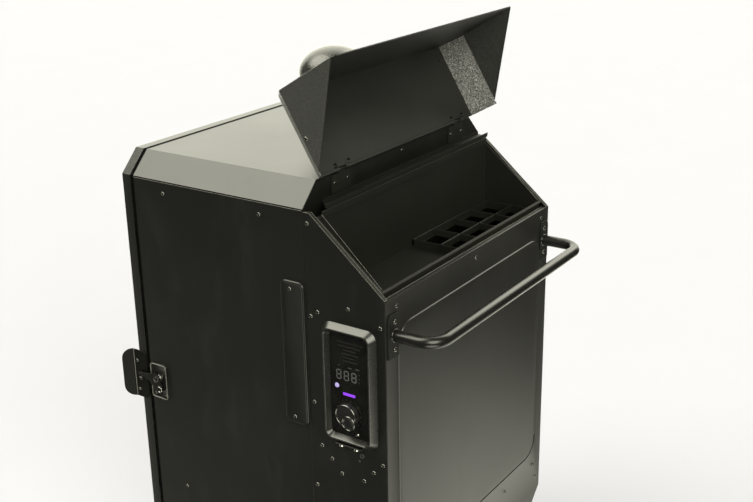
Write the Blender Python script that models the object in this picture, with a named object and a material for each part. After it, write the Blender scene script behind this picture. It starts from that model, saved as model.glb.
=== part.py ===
# Vertical pellet smoker with a rear pellet hopper, its hopper lid modelled open.
# Units are metres, +Z is up.  It is laid out with x = 0 on the body's plane of
# symmetry, y = 0 on the back wall of the cooking cabinet and z = 0 on the ground
# under the wheels.  -Y is the door side (front), +Y the hopper side (rear) and +X is
# the right as seen from the front.  The last step moves the whole assembly so that
# the origin is the middle of its footprint on the ground.
import bpy
import bmesh
import math
from mathutils import Vector, Matrix
from mathutils.geometry import tessellate_polygon

for old in list(bpy.data.objects):
    bpy.data.objects.remove(old, do_unlink=True)

# ------------------------------------------------------------------ dimensions
# Shared sizes; those of a single piece stand at the head of its section or function.
GAP = 0.0003            # clearance between separate pieces
SEAT = 0.0004           # extra clearance of the sheets set inside the skin
SHEET = 0.0012          # outer sheet thickness
LINER_SHEET = 0.0008    # inner liner sheet thickness
HALF_W = 0.310          # half width of the body
CHAMFER = 0.0425        # corner chamfer of the body, both ways
TOP = 1.100             # height of the top face
BODY_H = 0.896          # top face to bottom panel
CAB_D = 0.4105          # cabinet depth, back wall to front frame
HOUSING_D = 0.170       # depth of the rear housing
LINER_IN = 0.024        # liner distance inside the outer skin
SMOOTH = 40             # angle in degrees above which an edge stays sharp
PRESSED_SMOOTH = 35     # the same for pressed and moulded parts

SKIN_X = HALF_W + GAP                       # where parts on the body's sides start
HOUSING_IN_Y = HOUSING_D - SHEET - GAP      # rear end of the parts inside the rear panel


def top_z(offset_z):
    """Height above ground of a level given from the top face, negative downwards."""
    return TOP + offset_z


# The sloping hopper rim; heights are from the top face.
RIM_Y0 = 0.013
RIM_Z0 = -0.047
RIM_Z1 = -0.180         # at the rear panel
RIM_SLOPE = (RIM_Z1 - RIM_Z0) / (HOUSING_D - RIM_Y0)
RIM_LIP = 0.0090        # width of the lips folded in from the side sheets

# Holes shared by several pieces.
AUGER_Z = 0.290
AUGER_TUBE_R = 0.022
IGNITER_Z = AUGER_Z - 0.036
FAN_X = 0.130
PROBE_X, PROBE_Z = 0.200, top_z(-0.35)
CHIMNEY_X, CHIMNEY_Y, CHIMNEY_R = 0.0, -0.150, 0.0375
DRAIN_Y, DRAIN_R = -0.300, 0.012

# Shelf levels, from the top face.
RACK_LEVELS = (-0.185, -0.300, -0.415, -0.530)
PAN_LEVEL = -0.625
BAFFLE_LEVEL = -0.715
SHELF_HALF_W = 0.2836

# ------------------------------------------------------------------ materials
# name: (base colour, metallic, roughness)
MATERIAL_TABLE = {
    "black_paint": ((0.020, 0.020, 0.018, 1), 0.15, 0.38),
    "textured_paint": ((0.045, 0.046, 0.043, 1), 0.2, 0.50),
    "satin_tube": ((0.018, 0.018, 0.017, 1), 0.2, 0.33),
    "liner_steel": ((0.42, 0.42, 0.41, 1), 1.0, 0.34),
    "galvanised": ((0.50, 0.51, 0.52, 1), 1.0, 0.42),
    "chrome_wire": ((0.70, 0.70, 0.70, 1), 1.0, 0.16),
    "cast_iron": ((0.06, 0.055, 0.05, 1), 0.6, 0.62),
    "enamel": ((0.015, 0.016, 0.02, 1), 0.1, 0.20),
    "gasket_rope": ((0.03, 0.03, 0.03, 1), 0.0, 0.95),
    "black_plastic": ((0.018, 0.018, 0.018, 1), 0.0, 0.42),
    "glossy_panel": ((0.008, 0.008, 0.010, 1), 0.0, 0.08),
    "violet_button": ((0.45, 0.36, 0.75, 1), 0.0, 0.30),
    "chrome_part": ((0.75, 0.75, 0.74, 1), 1.0, 0.12),
    "hammered": ((0.16, 0.16, 0.15, 1), 0.75, 0.22),
    "rubber": ((0.020, 0.020, 0.020, 1), 0.0, 0.80),
    "ceramic": ((0.55, 0.50, 0.44, 1), 0.0, 0.55),
}


def make_material(name, colour, metallic, roughness):
    made = bpy.data.materials.new(name)
    made.use_nodes = True
    shader = made.node_tree.nodes["Principled BSDF"]
    shader.inputs["Base Color"].default_value = colour
    shader.inputs["Metallic"].default_value = metallic
    shader.inputs["Roughness"].default_value = roughness
    made.diffuse_color = colour
    return made


MATERIALS = {name: make_material(name, *row) for name, row in MATERIAL_TABLE.items()}


# ------------------------------------------------------------------ flat outlines
def rect(u0, u1, v0, v1):
    return [(u0, v0), (u1, v0), (u1, v1), (u0, v1)]


def round_rect(bounds, r, steps, inset=0.0):
    """Rounded rectangle, counter-clockwise; bounds are (u0, u1, v0, v1)."""
    u0, u1 = bounds[0] + inset, bounds[1] - inset
    v0, v1 = bounds[2] + inset, bounds[3] - inset
    outline = []
    for cu, cv, start in ((u1 - r, v0 + r, -90), (u1 - r, v1 - r, 0),
                          (u0 + r, v1 - r, 90), (u0 + r, v0 + r, 180)):
        for i in range(steps + 1):
            a = math.radians(start + 90.0 * i / steps)
            outline.append((cu + r * math.cos(a), cv + r * math.sin(a)))
    return outline


def circle(u, v, r, seg):
    return [(u + r * math.cos(2 * math.pi * i / seg), v + r * math.sin(2 * math.pi * i / seg))
            for i in range(seg)]


def mitre(before, point, after, distance):
    """Move a corner to the left of the path so that both its sides shift by distance."""
    a = (point - before).normalized()
    b = (after - point).normalized()
    normal_a, normal_b = Vector((-a.y, a.x)), Vector((-b.y, b.x))
    q = point + (normal_a + normal_b) * (distance / (1.0 + normal_a.dot(normal_b)))
    return (q.x, q.y)


def inset_outline(outline, distance):
    """Offset a counter-clockwise outline inwards with mitred corners."""
    points = [Vector(p) for p in outline]
    n = len(points)
    return [mitre(points[i - 1], points[i], points[(i + 1) % n], distance) for i in range(n)]


def bent_sheet(path, thickness):
    """Closed outline of a bent sheet: an open path plus its offset to the left."""
    points = [Vector(p) for p in path]
    points = [2 * points[0] - points[1]] + points + [2 * points[-1] - points[-2]]
    offset_path = [mitre(*points[i:i + 3], thickness) for i in range(len(path))]
    return path + offset_path[::-1]


def octagon(inset=0.0):
    """Body outline in (x, z), counter-clockwise from the left end of the bottom edge."""
    low, high = top_z(-BODY_H), TOP
    outline = [(-HALF_W + CHAMFER, low), (HALF_W - CHAMFER, low),
               (HALF_W, low + CHAMFER), (HALF_W, high - CHAMFER),
               (HALF_W - CHAMFER, high), (-HALF_W + CHAMFER, high),
               (-HALF_W, high - CHAMFER), (-HALF_W, low + CHAMFER)]
    return inset_outline(outline, inset) if inset else outline


def at_y(y, outline):
    """Stand an (x, z) outline at y."""
    return [(x, y, z) for x, z in outline]


def at_x(x, outline):
    """Stand a (y, z) outline at x."""
    return [(x, y, z) for y, z in outline]


def mirrored_range(side, near, far):
    """Ordered x range of a part from near to far on side 1 (right) or -1 (left)."""
    return sorted((side * near, side * far))


# ------------------------------------------------------------------ solids
def new_object(mesh):
    obj = bpy.data.objects.new("part", mesh)
    bpy.context.scene.collection.objects.link(obj)
    return obj


def solid(bm):
    """Turn a bmesh into an object with its normals outwards."""
    bmesh.ops.remove_doubles(bm, verts=bm.verts, dist=1e-6)
    bmesh.ops.recalc_face_normals(bm, faces=bm.faces)
    if bm.calc_volume(signed=True) < 0:
        bmesh.ops.reverse_faces(bm, faces=bm.faces)
    mesh = bpy.data.meshes.new("part")
    bm.to_mesh(mesh)
    bm.free()
    return new_object(mesh)


def bridge(bm, a, b):
    """Quads between two rings of equal length."""
    for i in range(len(a)):
        j = (i + 1) % len(a)
        bm.faces.new((a[i], a[j], b[j], b[i]))


def on_axis(axis, along, u, v):
    if axis == "X":
        return (along, u, v)
    if axis == "Y":
        return (u, along, v)
    return (u, v, along)


def prism(loops, axis, start, end):
    """Extrude a flat outline, followed by its holes, along an axis."""
    triangles = tessellate_polygon([[Vector((u, v, 0)) for u, v in loop] for loop in loops])
    flat = [p for loop in loops for p in loop]
    bm = bmesh.new()
    low = [bm.verts.new(on_axis(axis, start, u, v)) for u, v in flat]
    high = [bm.verts.new(on_axis(axis, end, u, v)) for u, v in flat]
    for a, b, c in triangles:
        bm.faces.new((low[a], low[b], low[c]))
        bm.faces.new((high[c], high[b], high[a]))
    first = 0
    for loop in loops:
        last = first + len(loop)
        bridge(bm, low[first:last], high[first:last])
        first = last
    return solid(bm)


def box(x0, x1, y0, y1, z0, z1):
    return prism([rect(x0, x1, y0, y1)], "Z", z0, z1)


def slab(front, back):
    """Flat plate between two copies of one outline, given as 3D points."""
    bm = bmesh.new()
    a = [bm.verts.new(p) for p in front]
    b = [bm.verts.new(p) for p in back]
    bm.faces.new(a)
    bm.faces.new(b[::-1])
    for i in range(len(a)):
        j = (i + 1) % len(a)
        bm.faces.new((a[i], b[i], b[j], a[j]))
    return solid(bm)


def loft(loops, closed=True):
    """Bridge loops of equal length; closed joins the last to the first, else both are capped."""
    bm = bmesh.new()
    rings = [[bm.verts.new(p) for p in loop] for loop in loops]
    for a, b in zip(rings, rings[1:]):
        bridge(bm, a, b)
    if closed:
        bridge(bm, rings[-1], rings[0])
    else:
        bm.faces.new(rings[0])
        bm.faces.new(rings[-1])
    return solid(bm)


def lathe(profile, axis, centre, seg, ring=False):
    """Turn a profile of (radius, distance along the axis) points about an axis."""
    def vertex(u, v, along):
        return bm.verts.new([c + d for c, d in zip(centre, on_axis(axis, along, u, v))])

    bm = bmesh.new()
    rows = []
    for r, h in profile:
        if r < 1e-9:
            rows.append([vertex(0, 0, h)])
        else:
            rows.append([vertex(u, v, h) for u, v in circle(0, 0, r, seg)])
    pairs = list(zip(rows, rows[1:]))
    if ring:
        pairs.append((rows[-1], rows[0]))
    for a, b in pairs:
        if len(a) > 1 and len(b) > 1:
            bridge(bm, a, b)
            continue
        for i in range(seg):
            j = (i + 1) % seg
            if len(a) == 1:
                bm.faces.new((a[0], b[j], b[i]))
            else:
                bm.faces.new((a[i], a[j], b[0]))
    return solid(bm)


def cylinder(axis, centre, r, start, end, seg):
    return lathe([(0, start), (r, start), (r, end), (0, end)], axis, centre, seg)


def sweep(path, r, seg):
    """Round bar along a path that is nowhere vertical."""
    points = [Vector(p) for p in path]
    last = len(points) - 1
    rings = []
    for i, p in enumerate(points):
        along = (points[min(i + 1, last)] - points[max(i - 1, 0)]).normalized()
        side = along.cross(Vector((0, 0, 1)))
        side.normalize()
        up = side.cross(along).normalized()
        rings.append([p + r * (math.cos(2 * math.pi * k / seg) * side
                               + math.sin(2 * math.pi * k / seg) * up) for k in range(seg)])
    return loft(rings, closed=False)


def sheet_with_boss(outline, foot, crest, y, thickness, height):
    """Sheet facing +Y whose field inside the loop foot is pushed out to the loop crest."""
    triangles = tessellate_polygon([[Vector((u, v, 0)) for u, v in loop]
                                    for loop in (outline, foot)])
    bm = bmesh.new()
    edges = []
    for face_y in (y, y - thickness):
        edge, foot_ring, crest_ring = [
            [bm.verts.new(p) for p in at_y(ring_y, loop)]
            for ring_y, loop in ((face_y, outline), (face_y, foot), (face_y + height, crest))]
        border = edge + foot_ring
        for i, j, k in triangles:
            bm.faces.new((border[i], border[j], border[k]))
        bridge(bm, foot_ring, crest_ring)
        bm.faces.new(crest_ring)
        edges.append(edge)
    bridge(bm, *edges)
    return solid(bm)


def moved(obj, *matrices):
    """Apply the matrices to the object's mesh, one after the other."""
    for matrix in matrices:
        obj.data.transform(matrix)
    return obj


def turn(degrees, axis):
    return Matrix.Rotation(math.radians(degrees), 4, axis)


def shift(x, y, z):
    return Matrix.Translation((x, y, z))


def bake(obj):
    """Replace the mesh by its modified version, in triangles."""
    depsgraph = bpy.context.evaluated_depsgraph_get()
    mesh = bpy.data.meshes.new_from_object(obj.evaluated_get(depsgraph))
    obj.modifiers.clear()
    obj.data = mesh
    bm = bmesh.new()
    bm.from_mesh(mesh)
    bmesh.ops.triangulate(bm, faces=bm.faces)
    bm.to_mesh(mesh)
    bm.free()


def boolean(obj, tool, operation, solver="EXACT"):
    """Combine obj with tool and remove the tool."""
    modifier = obj.modifiers.new("boolean", "BOOLEAN")
    modifier.operation = operation
    modifier.object = tool
    modifier.solver = solver
    bake(obj)
    bpy.data.objects.remove(tool, do_unlink=True)


def union(obj, *tools):
    for tool in tools:
        boolean(obj, tool, "UNION")


def cut(obj, *tools):
    for tool in tools:
        boolean(obj, tool, "DIFFERENCE")


def finish(obj, name, material, smooth=None, pivot=None):
    """Name the piece, give it its material, shading and origin."""
    obj.name = name
    obj.data.materials.clear()
    obj.data.materials.append(MATERIALS[material])
    if smooth is not None:
        obj.data.shade_smooth()
        obj.data.set_sharp_from_angle(angle=math.radians(smooth))
    if pivot is not None:
        moved(obj, Matrix.Translation(-Vector(pivot)))
        obj.location = pivot


# ------------------------------------------------------------------ cabinet skin
def side_panels():
    (_, _, outer_low, outer_high), (_, _, inner_low, inner_high) = (
        octagon()[:4], octagon(SHEET)[:4])
    outline = [(outer_low[0], outer_low[1] + GAP), (outer_high[0], outer_high[1] - GAP),
               (inner_high[0], inner_high[1] - GAP), (inner_low[0], inner_low[1] + GAP)]
    right = prism([outline], "Y", -CAB_D, -GAP)
    left_mesh = right.data.copy()
    left_mesh.transform(Matrix.Scale(-1, 4, (1, 0, 0)))
    left_mesh.flip_normals()
    finish(right, "side_panel_right", "black_paint")
    finish(new_object(left_mesh), "side_panel_left", "black_paint")


def chimney_hole(z, reach):
    return cylinder("Z", (CHIMNEY_X, CHIMNEY_Y, z), CHIMNEY_R + 0.001, -reach, reach, 32)


def drain_hole(z, reach):
    return cylinder("Z", (0, DRAIN_Y, z), DRAIN_R, -reach, reach, 20)


def top_panel():
    """Top face with the upper chamfers."""
    panel = prism([octagon()[3:7] + octagon(SHEET)[3:7][::-1]], "Y", -CAB_D, 0.0)
    cut(panel, chimney_hole(TOP, 0.02))
    finish(panel, "top_panel", "black_paint")


def bottom_panel():
    """Bottom face with the lower chamfers; it runs on under the rear housing."""
    outer, inner = octagon(), octagon(SHEET)
    panel = prism([[outer[7]] + outer[0:3] + inner[0:3][::-1] + [inner[7]]],
                  "Y", -CAB_D, HOUSING_IN_Y)
    cut(panel, drain_hole(top_z(-BODY_H), 0.02))
    finish(panel, "bottom_panel", "black_paint")


# Holes through back wall and liner, as (x, z, radius, segments).
AUGER_HOLE = (0, AUGER_Z, AUGER_TUBE_R + 0.0005, 24)
IGNITER_HOLE = (0, IGNITER_Z, 0.0051, 12)
PROBE_HOLE = (PROBE_X, PROBE_Z, 0.0036, 10)
FAN_WALL_HOLE = (FAN_X, AUGER_Z, 0.034, 24)
FAN_LINER_HOLE = (FAN_X, AUGER_Z, 0.030, 20)


def back_wall():
    holes = (AUGER_HOLE, IGNITER_HOLE, FAN_WALL_HOLE, PROBE_HOLE)
    wall = prism([octagon(SHEET + SEAT)] + [circle(*hole) for hole in holes],
                 "Y", -SHEET, 0.0)
    finish(wall, "back_wall", "black_paint")


def front_frame():
    frame = prism([octagon(SHEET + SEAT), octagon(LINER_IN + 0.001)],
                  "Y", -CAB_D, -CAB_D + SHEET)
    finish(frame, "front_frame", "black_paint")


def ledges(wall_x, depth):
    """Rack ledges of one liner wall as (x, z) points, going up."""
    ledge_h, edge_h = 0.008, 0.003
    points = []
    for level in sorted(RACK_LEVELS + (PAN_LEVEL, BAFFLE_LEVEL)):
        z = top_z(level)
        points += [(wall_x, z - ledge_h), (wall_x - depth, z - edge_h),
                   (wall_x - depth, z), (wall_x, z)]
    return points


def inner_liner():
    """Tub open at the door, its side walls pressed into rack ledges."""
    ledge_d = 0.012
    base = octagon(LINER_IN)
    outer = (base[:3] + ledges(base[2][0], ledge_d)
             + base[3:7] + ledges(base[6][0], -ledge_d)[::-1] + base[7:])
    inner = inset_outline(outer, LINER_SHEET)
    front, back = -CAB_D + SHEET + GAP, -LINER_IN
    liner = loft([at_y(back - LINER_SHEET, inner), at_y(front, inner),
                  at_y(front, outer), at_y(back, outer)], closed=False)
    for x, z, r, seg in (AUGER_HOLE, IGNITER_HOLE, FAN_LINER_HOLE, PROBE_HOLE):
        cut(liner, cylinder("Y", (x, back, z), r, -0.01, 0.01, seg))
    cut(liner, chimney_hole(top_z(-LINER_IN), 0.01),
        drain_hole(top_z(-BODY_H + LINER_IN), 0.01))
    finish(liner, "inner_liner", "liner_steel")


# ------------------------------------------------------------------ door
DOOR_Y0 = -0.4370       # door front face
DOOR_Y1 = -0.4145       # door back edge
HINGE_X, HINGE_Y = -0.3150, -0.4125
DOOR_PIVOT = (HINGE_X, HINGE_Y, TOP - BODY_H / 2)


def door_outer_skin():
    edge = 0.0015       # chamfer round the front face
    skin = loft([
        at_y(DOOR_Y0 + SHEET, octagon(SHEET)), at_y(DOOR_Y1, octagon(SHEET)),
        at_y(DOOR_Y1, octagon()), at_y(DOOR_Y0 + edge, octagon()),
        at_y(DOOR_Y0, octagon(edge))], closed=False)
    finish(skin, "door_outer_skin", "black_paint", pivot=DOOR_PIVOT)


def door_inner_liner():
    liner = prism([octagon(SHEET + GAP)], "Y", DOOR_Y1 - 0.0014, DOOR_Y1 - 0.0004)
    finish(liner, "door_inner_liner", "liner_steel", pivot=DOOR_PIVOT)


def door_gasket():
    door_face = DOOR_Y1 - 0.0001
    frame_face = -CAB_D - GAP
    shoulder = frame_face - 0.0008
    gasket = loft([
        at_y(door_face, octagon(0.006)), at_y(shoulder, octagon(0.006)),
        at_y(frame_face, octagon(0.008)), at_y(frame_face, octagon(0.016)),
        at_y(shoulder, octagon(0.018)), at_y(door_face, octagon(0.018))])
    finish(gasket, "door_gasket", "gasket_rope", pivot=DOOR_PIVOT)


def door_hinge(tag, z):
    """Fixed lower barrel with pin and cabinet leaf, moving upper barrel with door leaf."""
    centre = (HINGE_X, HINGE_Y, z)
    barrel_r, half_h, joint = 0.0047, 0.028, 0.0004

    def leaf(y0, y1):
        outline = round_rect((y0, y1, z - half_h, z + half_h), 0.004, 3)
        return prism([outline], "X", -SKIN_X - 0.0019, -SKIN_X)

    def pin():
        return cylinder("Z", centre, 0.0028, -0.010, 0.024, 16)

    def barrel_notch(z0, z1):
        return box(-0.320, -0.305, -0.4180, -0.4070, z0, z1)

    fixed = cylinder("Z", centre, barrel_r, -half_h, -joint, 20)
    union(fixed, pin(), leaf(-0.4118, -0.3720))
    cut(fixed, barrel_notch(z - 0.0002, z + 0.04))
    # the notch also took the upper part of the pin
    union(fixed, pin())
    finish(fixed, "door_hinge_%s_fixed" % tag, "black_paint", SMOOTH)

    moving = cylinder("Z", centre, barrel_r, joint, half_h, 20)
    door_leaf = leaf(-0.4352, -0.4132)
    cut(door_leaf, barrel_notch(z - 0.04, z + joint))
    union(moving, door_leaf)
    cut(moving, cylinder("Z", centre, 0.0031, -0.01, 0.0255, 16))
    finish(moving, "door_hinge_%s_moving" % tag, "black_paint", SMOOTH, pivot=centre)


def door_pull():
    """Pull plate on the door's right edge with a flared finger wing and a strike tab."""
    z0, z1 = top_z(-0.5220), top_z(-0.4160)
    fold_y = -0.4510
    low, high = z0 + 0.004, z1 - 0.004          # ends of the fold
    wing_l, wing_corner = 0.0250, 0.022
    plate = prism([[(fold_y - 0.0006, low), (-0.4210, z0 + 0.0005), (-0.4155, z0 + 0.006),
                    (-0.4155, z1 - 0.006), (-0.4210, z1 - 0.0005), (fold_y - 0.0006, high)]],
                  "X", SKIN_X, SKIN_X + 0.0020)
    # wing outline: distance out from the fold, z
    wing = [(-0.0015, low)]
    for start, centre_z in ((-90, low + wing_corner), (0, high - wing_corner)):
        for i in range(9):
            a = math.radians(start + 90 * i / 8)
            wing.append((wing_l * math.cos(a), centre_z + wing_corner * math.sin(a)))
    wing.append((-0.0015, high))
    out_x, out_y = 0.60, -0.80                  # direction of the wing
    half_x, half_y = 0.0008, 0.0006             # half its thickness, square to that
    middle = [(SKIN_X + 0.0010 + out_x * u, fold_y + out_y * u, z) for u, z in wing]
    union(plate,
          slab([(x - half_x, y - half_y, z) for x, y, z in middle],
               [(x + half_x, y + half_y, z) for x, y, z in middle]),
          box(0.3115, 0.3215, -0.4310, -0.4230, top_z(-0.4770), top_z(-0.4705)))
    finish(plate, "door_pull", "black_paint", pivot=(HINGE_X, HINGE_Y, (z0 + z1) / 2))


LATCH_Y, LATCH_Z = -0.3850, top_z(-0.4660)      # lever pivot
# lever outline: y, height from the top face
LEVER_OUTLINE = [
    (-0.4360, -0.4697), (-0.4160, -0.4697), (-0.4000, -0.4760), (-0.3930, -0.4860),
    (-0.3830, -0.4950), (-0.3740, -0.4930), (-0.3720, -0.4820), (-0.3750, -0.4660),
    (-0.3800, -0.4570), (-0.3900, -0.4550), (-0.4050, -0.4590), (-0.4360, -0.4620)]


def latch_base():
    """Base plate with a raised rim and the lever's pivot boss."""
    bounds = (-0.4030, -0.3600, top_z(-0.5095), top_z(-0.4335))
    raised_x = SKIN_X + 0.0015
    outline = round_rect(bounds, 0.006, 3)
    base = prism([outline], "X", SKIN_X, SKIN_X + 0.0020)
    boss_centre = (raised_x, LATCH_Y, LATCH_Z)
    union(base,
          prism([outline, round_rect(bounds, 0.004, 3, inset=0.0022)],
                "X", raised_x, raised_x + 0.0030),
          cylinder("X", boss_centre, 0.0065, 0.0, 0.0028, 20),
          cylinder("X", boss_centre, 0.0040, 0.0, 0.0120, 20))
    finish(base, "latch_base", "black_paint", SMOOTH)


def latch_lever():
    """Lever whose nose lies over the strike tab."""
    lever = prism([[(y, top_z(h)) for y, h in LEVER_OUTLINE]], "X", 0.3152, 0.3190)
    cut(lever, cylinder("X", (0.3150, LATCH_Y, LATCH_Z), 0.0043, -0.01, 0.02, 20))
    finish(lever, "latch_lever", "black_paint", pivot=(0.317, LATCH_Y, LATCH_Z))


# ------------------------------------------------------------------ chamber contents
def shelf_z(level):
    """Underside of a part resting on the liner ledges at level."""
    return top_z(level) + LINER_SHEET + GAP


def rack(number, level):
    """Flat grid of bars running front to back."""
    front, back = -0.395, -0.031
    border, half_bar, slots = 0.006, 0.0025, 15
    pitch = (2 * SHELF_HALF_W - 2 * border) / slots
    holes = []
    for i in range(slots):
        x = -SHELF_HALF_W + border + i * pitch
        holes.append(rect(x + half_bar, x + pitch - half_bar, front + border, back - border))
    z = shelf_z(level)
    grid = prism([rect(-SHELF_HALF_W, SHELF_HALF_W, front, back)] + holes, "Z", z, z + 0.005)
    finish(grid, "rack_%d" % number, "chrome_wire", pivot=(0, (front + back) / 2, z))


def tub(half_w, y0, y1, bottom_z, rim_z, corner_r, slope, lip):
    """Open pan with walls sloping in by slope at the foot, and a flat lip."""
    thickness = 0.0010

    def ring(inset, z):
        outline = round_rect((-half_w, half_w, y0, y1), max(corner_r - inset, 0.002), 3, inset)
        return [(x, y, z) for x, y in outline]

    return loft([ring(slope + thickness, bottom_z + thickness), ring(lip + thickness, rim_z),
                 ring(0.0, rim_z), ring(0.0, rim_z - thickness),
                 ring(lip, rim_z - thickness), ring(slope, bottom_z)], closed=False)


def water_pan():
    z = shelf_z(PAN_LEVEL)
    pan = tub(SHELF_HALF_W, -0.372, -0.060, bottom_z=z - 0.046, rim_z=z + 0.0010,
              corner_r=0.020, slope=0.030, lip=0.013)
    finish(pan, "water_pan", "enamel", PRESSED_SMOOTH)


def heat_baffle():
    """Bent plate with a raised middle; the path is its upper face, right to left."""
    thickness = 0.0015
    foot_x, crest_x = 0.268, 0.190
    z = shelf_z(BAFFLE_LEVEL) + thickness
    crest_z = z + 0.030
    path = [(SHELF_HALF_W, z), (foot_x, z), (crest_x, crest_z),
            (-crest_x, crest_z), (-foot_x, z), (-SHELF_HALF_W, z)]
    finish(prism([bent_sheet(path, thickness)], "Y", -0.380, -0.045),
           "heat_baffle", "cast_iron")


def grease_drawer():
    """Shallow tub under the cabinet with an upright front plate."""
    drawer = tub(0.118, -0.395, -0.130, bottom_z=0.1503, rim_z=0.1825,
                 corner_r=0.010, slope=0.004, lip=0.002)
    union(drawer, prism([round_rect((-0.112, 0.112, 0.1515, 0.1815), 0.004, 2)],
                        "Y", -0.3990, -0.3935))
    finish(drawer, "grease_drawer", "galvanised", PRESSED_SMOOTH, pivot=(0, -0.26, 0.165))


# ------------------------------------------------------------------ fire system
POT_Y, POT_Z, POT_R = -0.200, 0.2292, 0.050


def fire_pot():
    """Flanged cup with auger and igniter openings at its rear and air holes around."""
    pot = lathe([(0, 0), (0.060, 0), (0.060, 0.003), (POT_R, 0.0045), (POT_R, 0.086),
                 (0.047, 0.086), (0.047, 0.013), (0, 0.013)], "Z", (0, POT_Y, POT_Z), 20)
    cut(pot, cylinder("Y", (0, POT_Y + POT_R, AUGER_Z), 0.018, -0.02, 0.02, 20),
        cylinder("Y", (0, POT_Y + POT_R, IGNITER_Z), 0.0062, -0.02, 0.02, 12))
    for angle in (20, 60, 120, 160, 225, 315):
        hole = cylinder("X", (0, 0, 0), 0.003, 0.030, 0.070, 6)
        cut(pot, moved(hole, turn(angle, "Z"), shift(0, POT_Y, 0.262)))
    finish(pot, "fire_pot", "cast_iron", SMOOTH)


def igniter():
    rod = lathe([(0, -0.152), (0.0040, -0.152), (0.0045, -0.150), (0.0045, 0.014),
                 (0.0075, 0.014), (0.0075, 0.040), (0, 0.040)], "Y", (0, 0, IGNITER_Z), 12)
    finish(rod, "igniter", "ceramic", SMOOTH)


def auger_tube():
    """Tube with a flange at its rear end and an opening in its top under the hopper."""
    front, back = -0.1490, 0.1095
    bore_r = AUGER_TUBE_R - 0.0015
    tube = lathe([(AUGER_TUBE_R, front), (AUGER_TUBE_R, back), (bore_r, back),
                  (bore_r, front)], "Y", (0, 0, AUGER_Z), 18, ring=True)
    union(tube, prism([round_rect((-0.034, 0.034, AUGER_Z - 0.028, AUGER_Z + 0.026), 0.004, 2),
                       circle(0, AUGER_Z, AUGER_TUBE_R - 0.001, 16)], "Y", back - 0.0020, back))
    cut(tube, box(-0.014, 0.014, 0.047, 0.093, AUGER_Z + 0.010, AUGER_Z + 0.04))
    finish(tube, "auger_tube", "galvanised", SMOOTH)


def auger_screw():
    """One fin wound round a shaft, with a drive stub at the rear."""
    pitch, fin_r, shaft_r = 0.040, 0.0185, 0.0050
    front, back = -0.1420, 0.1050
    shaft_points = 6
    section = []        # (x, z) from the axis
    for i in range(shaft_points):
        a = math.radians(30 + i * 300.0 / (shaft_points - 1))
        section.append((shaft_r * math.cos(a), shaft_r * math.sin(a)))
    for degrees in (-10, 10):
        a = math.radians(degrees)
        section.append((fin_r * math.cos(a), fin_r * math.sin(a)))
    steps = int(round((back - front) / pitch * 10))
    loops = []
    for i in range(steps + 1):
        y = front + (back - front) * i / steps
        a = 2 * math.pi * (y - front) / pitch
        cos_a, sin_a = math.cos(a), math.sin(a)
        loops.append([(u * cos_a - v * sin_a, y, AUGER_Z + u * sin_a + v * cos_a)
                      for u, v in section])
    screw = loft(loops, closed=False)
    union(screw, cylinder("Y", (0, 0, AUGER_Z), 0.0046, 0.1040, 0.1120, 12))
    finish(screw, "auger_screw", "galvanised", pivot=(0, 0, AUGER_Z))


def auger_motor():
    motor = prism([round_rect((-0.030, 0.030, AUGER_Z - 0.026, AUGER_Z + 0.030), 0.004, 2)],
                  "Y", 0.1130, 0.1360)
    union(motor, cylinder("Y", (0, 0, AUGER_Z + 0.002), 0.024, 0.1350, 0.1600, 24))
    finish(motor, "auger_motor", "galvanised", SMOOTH)


def fan_housing():
    """Square frame with crossed arms at its rear carrying a hub and a spindle."""
    centre = (FAN_X, 0, AUGER_Z)
    half = 0.045
    arm_y0, arm_y1 = 0.0262, 0.0290
    bounds = (FAN_X - half, FAN_X + half, AUGER_Z - half, AUGER_Z + half)
    housing = prism([round_rect(bounds, 0.005, 3), circle(FAN_X, AUGER_Z, 0.0415, 20)],
                    "Y", 0.0004, 0.0300)
    for angle in (45, 135):
        arm = box(-0.043, 0.043, arm_y0, arm_y1, -0.003, 0.003)
        union(housing, moved(arm, turn(angle, "Y"), shift(*centre)))
    union(housing, cylinder("Y", centre, 0.015, arm_y0, arm_y1, 20),
          cylinder("Y", centre, 0.0024, 0.0080, 0.0270, 12))
    finish(housing, "fan_housing", "black_plastic", SMOOTH)


def fan_impeller():
    centre = (FAN_X, 0, AUGER_Z)
    mid_y = 0.0147      # middle of the blades along the axis
    blades, blade_tilt = 7, 42
    impeller = lathe([(0.0150, 0.0040), (0.0160, 0.0055), (0.0160, 0.0240), (0.0030, 0.0240),
                      (0.0030, 0.0070), (0.0028, 0.0040)], "Y", centre, 20, ring=True)
    for k in range(blades):
        blade = box(0.014, 0.039, 0.0062, 0.0232, -0.0009, 0.0009)
        union(impeller, moved(blade, shift(0, -mid_y, 0), turn(blade_tilt, "X"),
                              shift(0, mid_y, 0), turn(360 * k / blades, "Y"),
                              shift(*centre)))
    finish(impeller, "fan_impeller", "black_plastic", SMOOTH, pivot=(FAN_X, mid_y, AUGER_Z))


def temperature_probe():
    probe = lathe([(0, -0.075), (0.0030, -0.073), (0.0030, 0.004), (0.0060, 0.004),
                   (0.0060, 0.010), (0, 0.010)], "Y", (PROBE_X, 0, PROBE_Z), 12)
    finish(probe, "temperature_probe", "chrome_part", SMOOTH)


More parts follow.
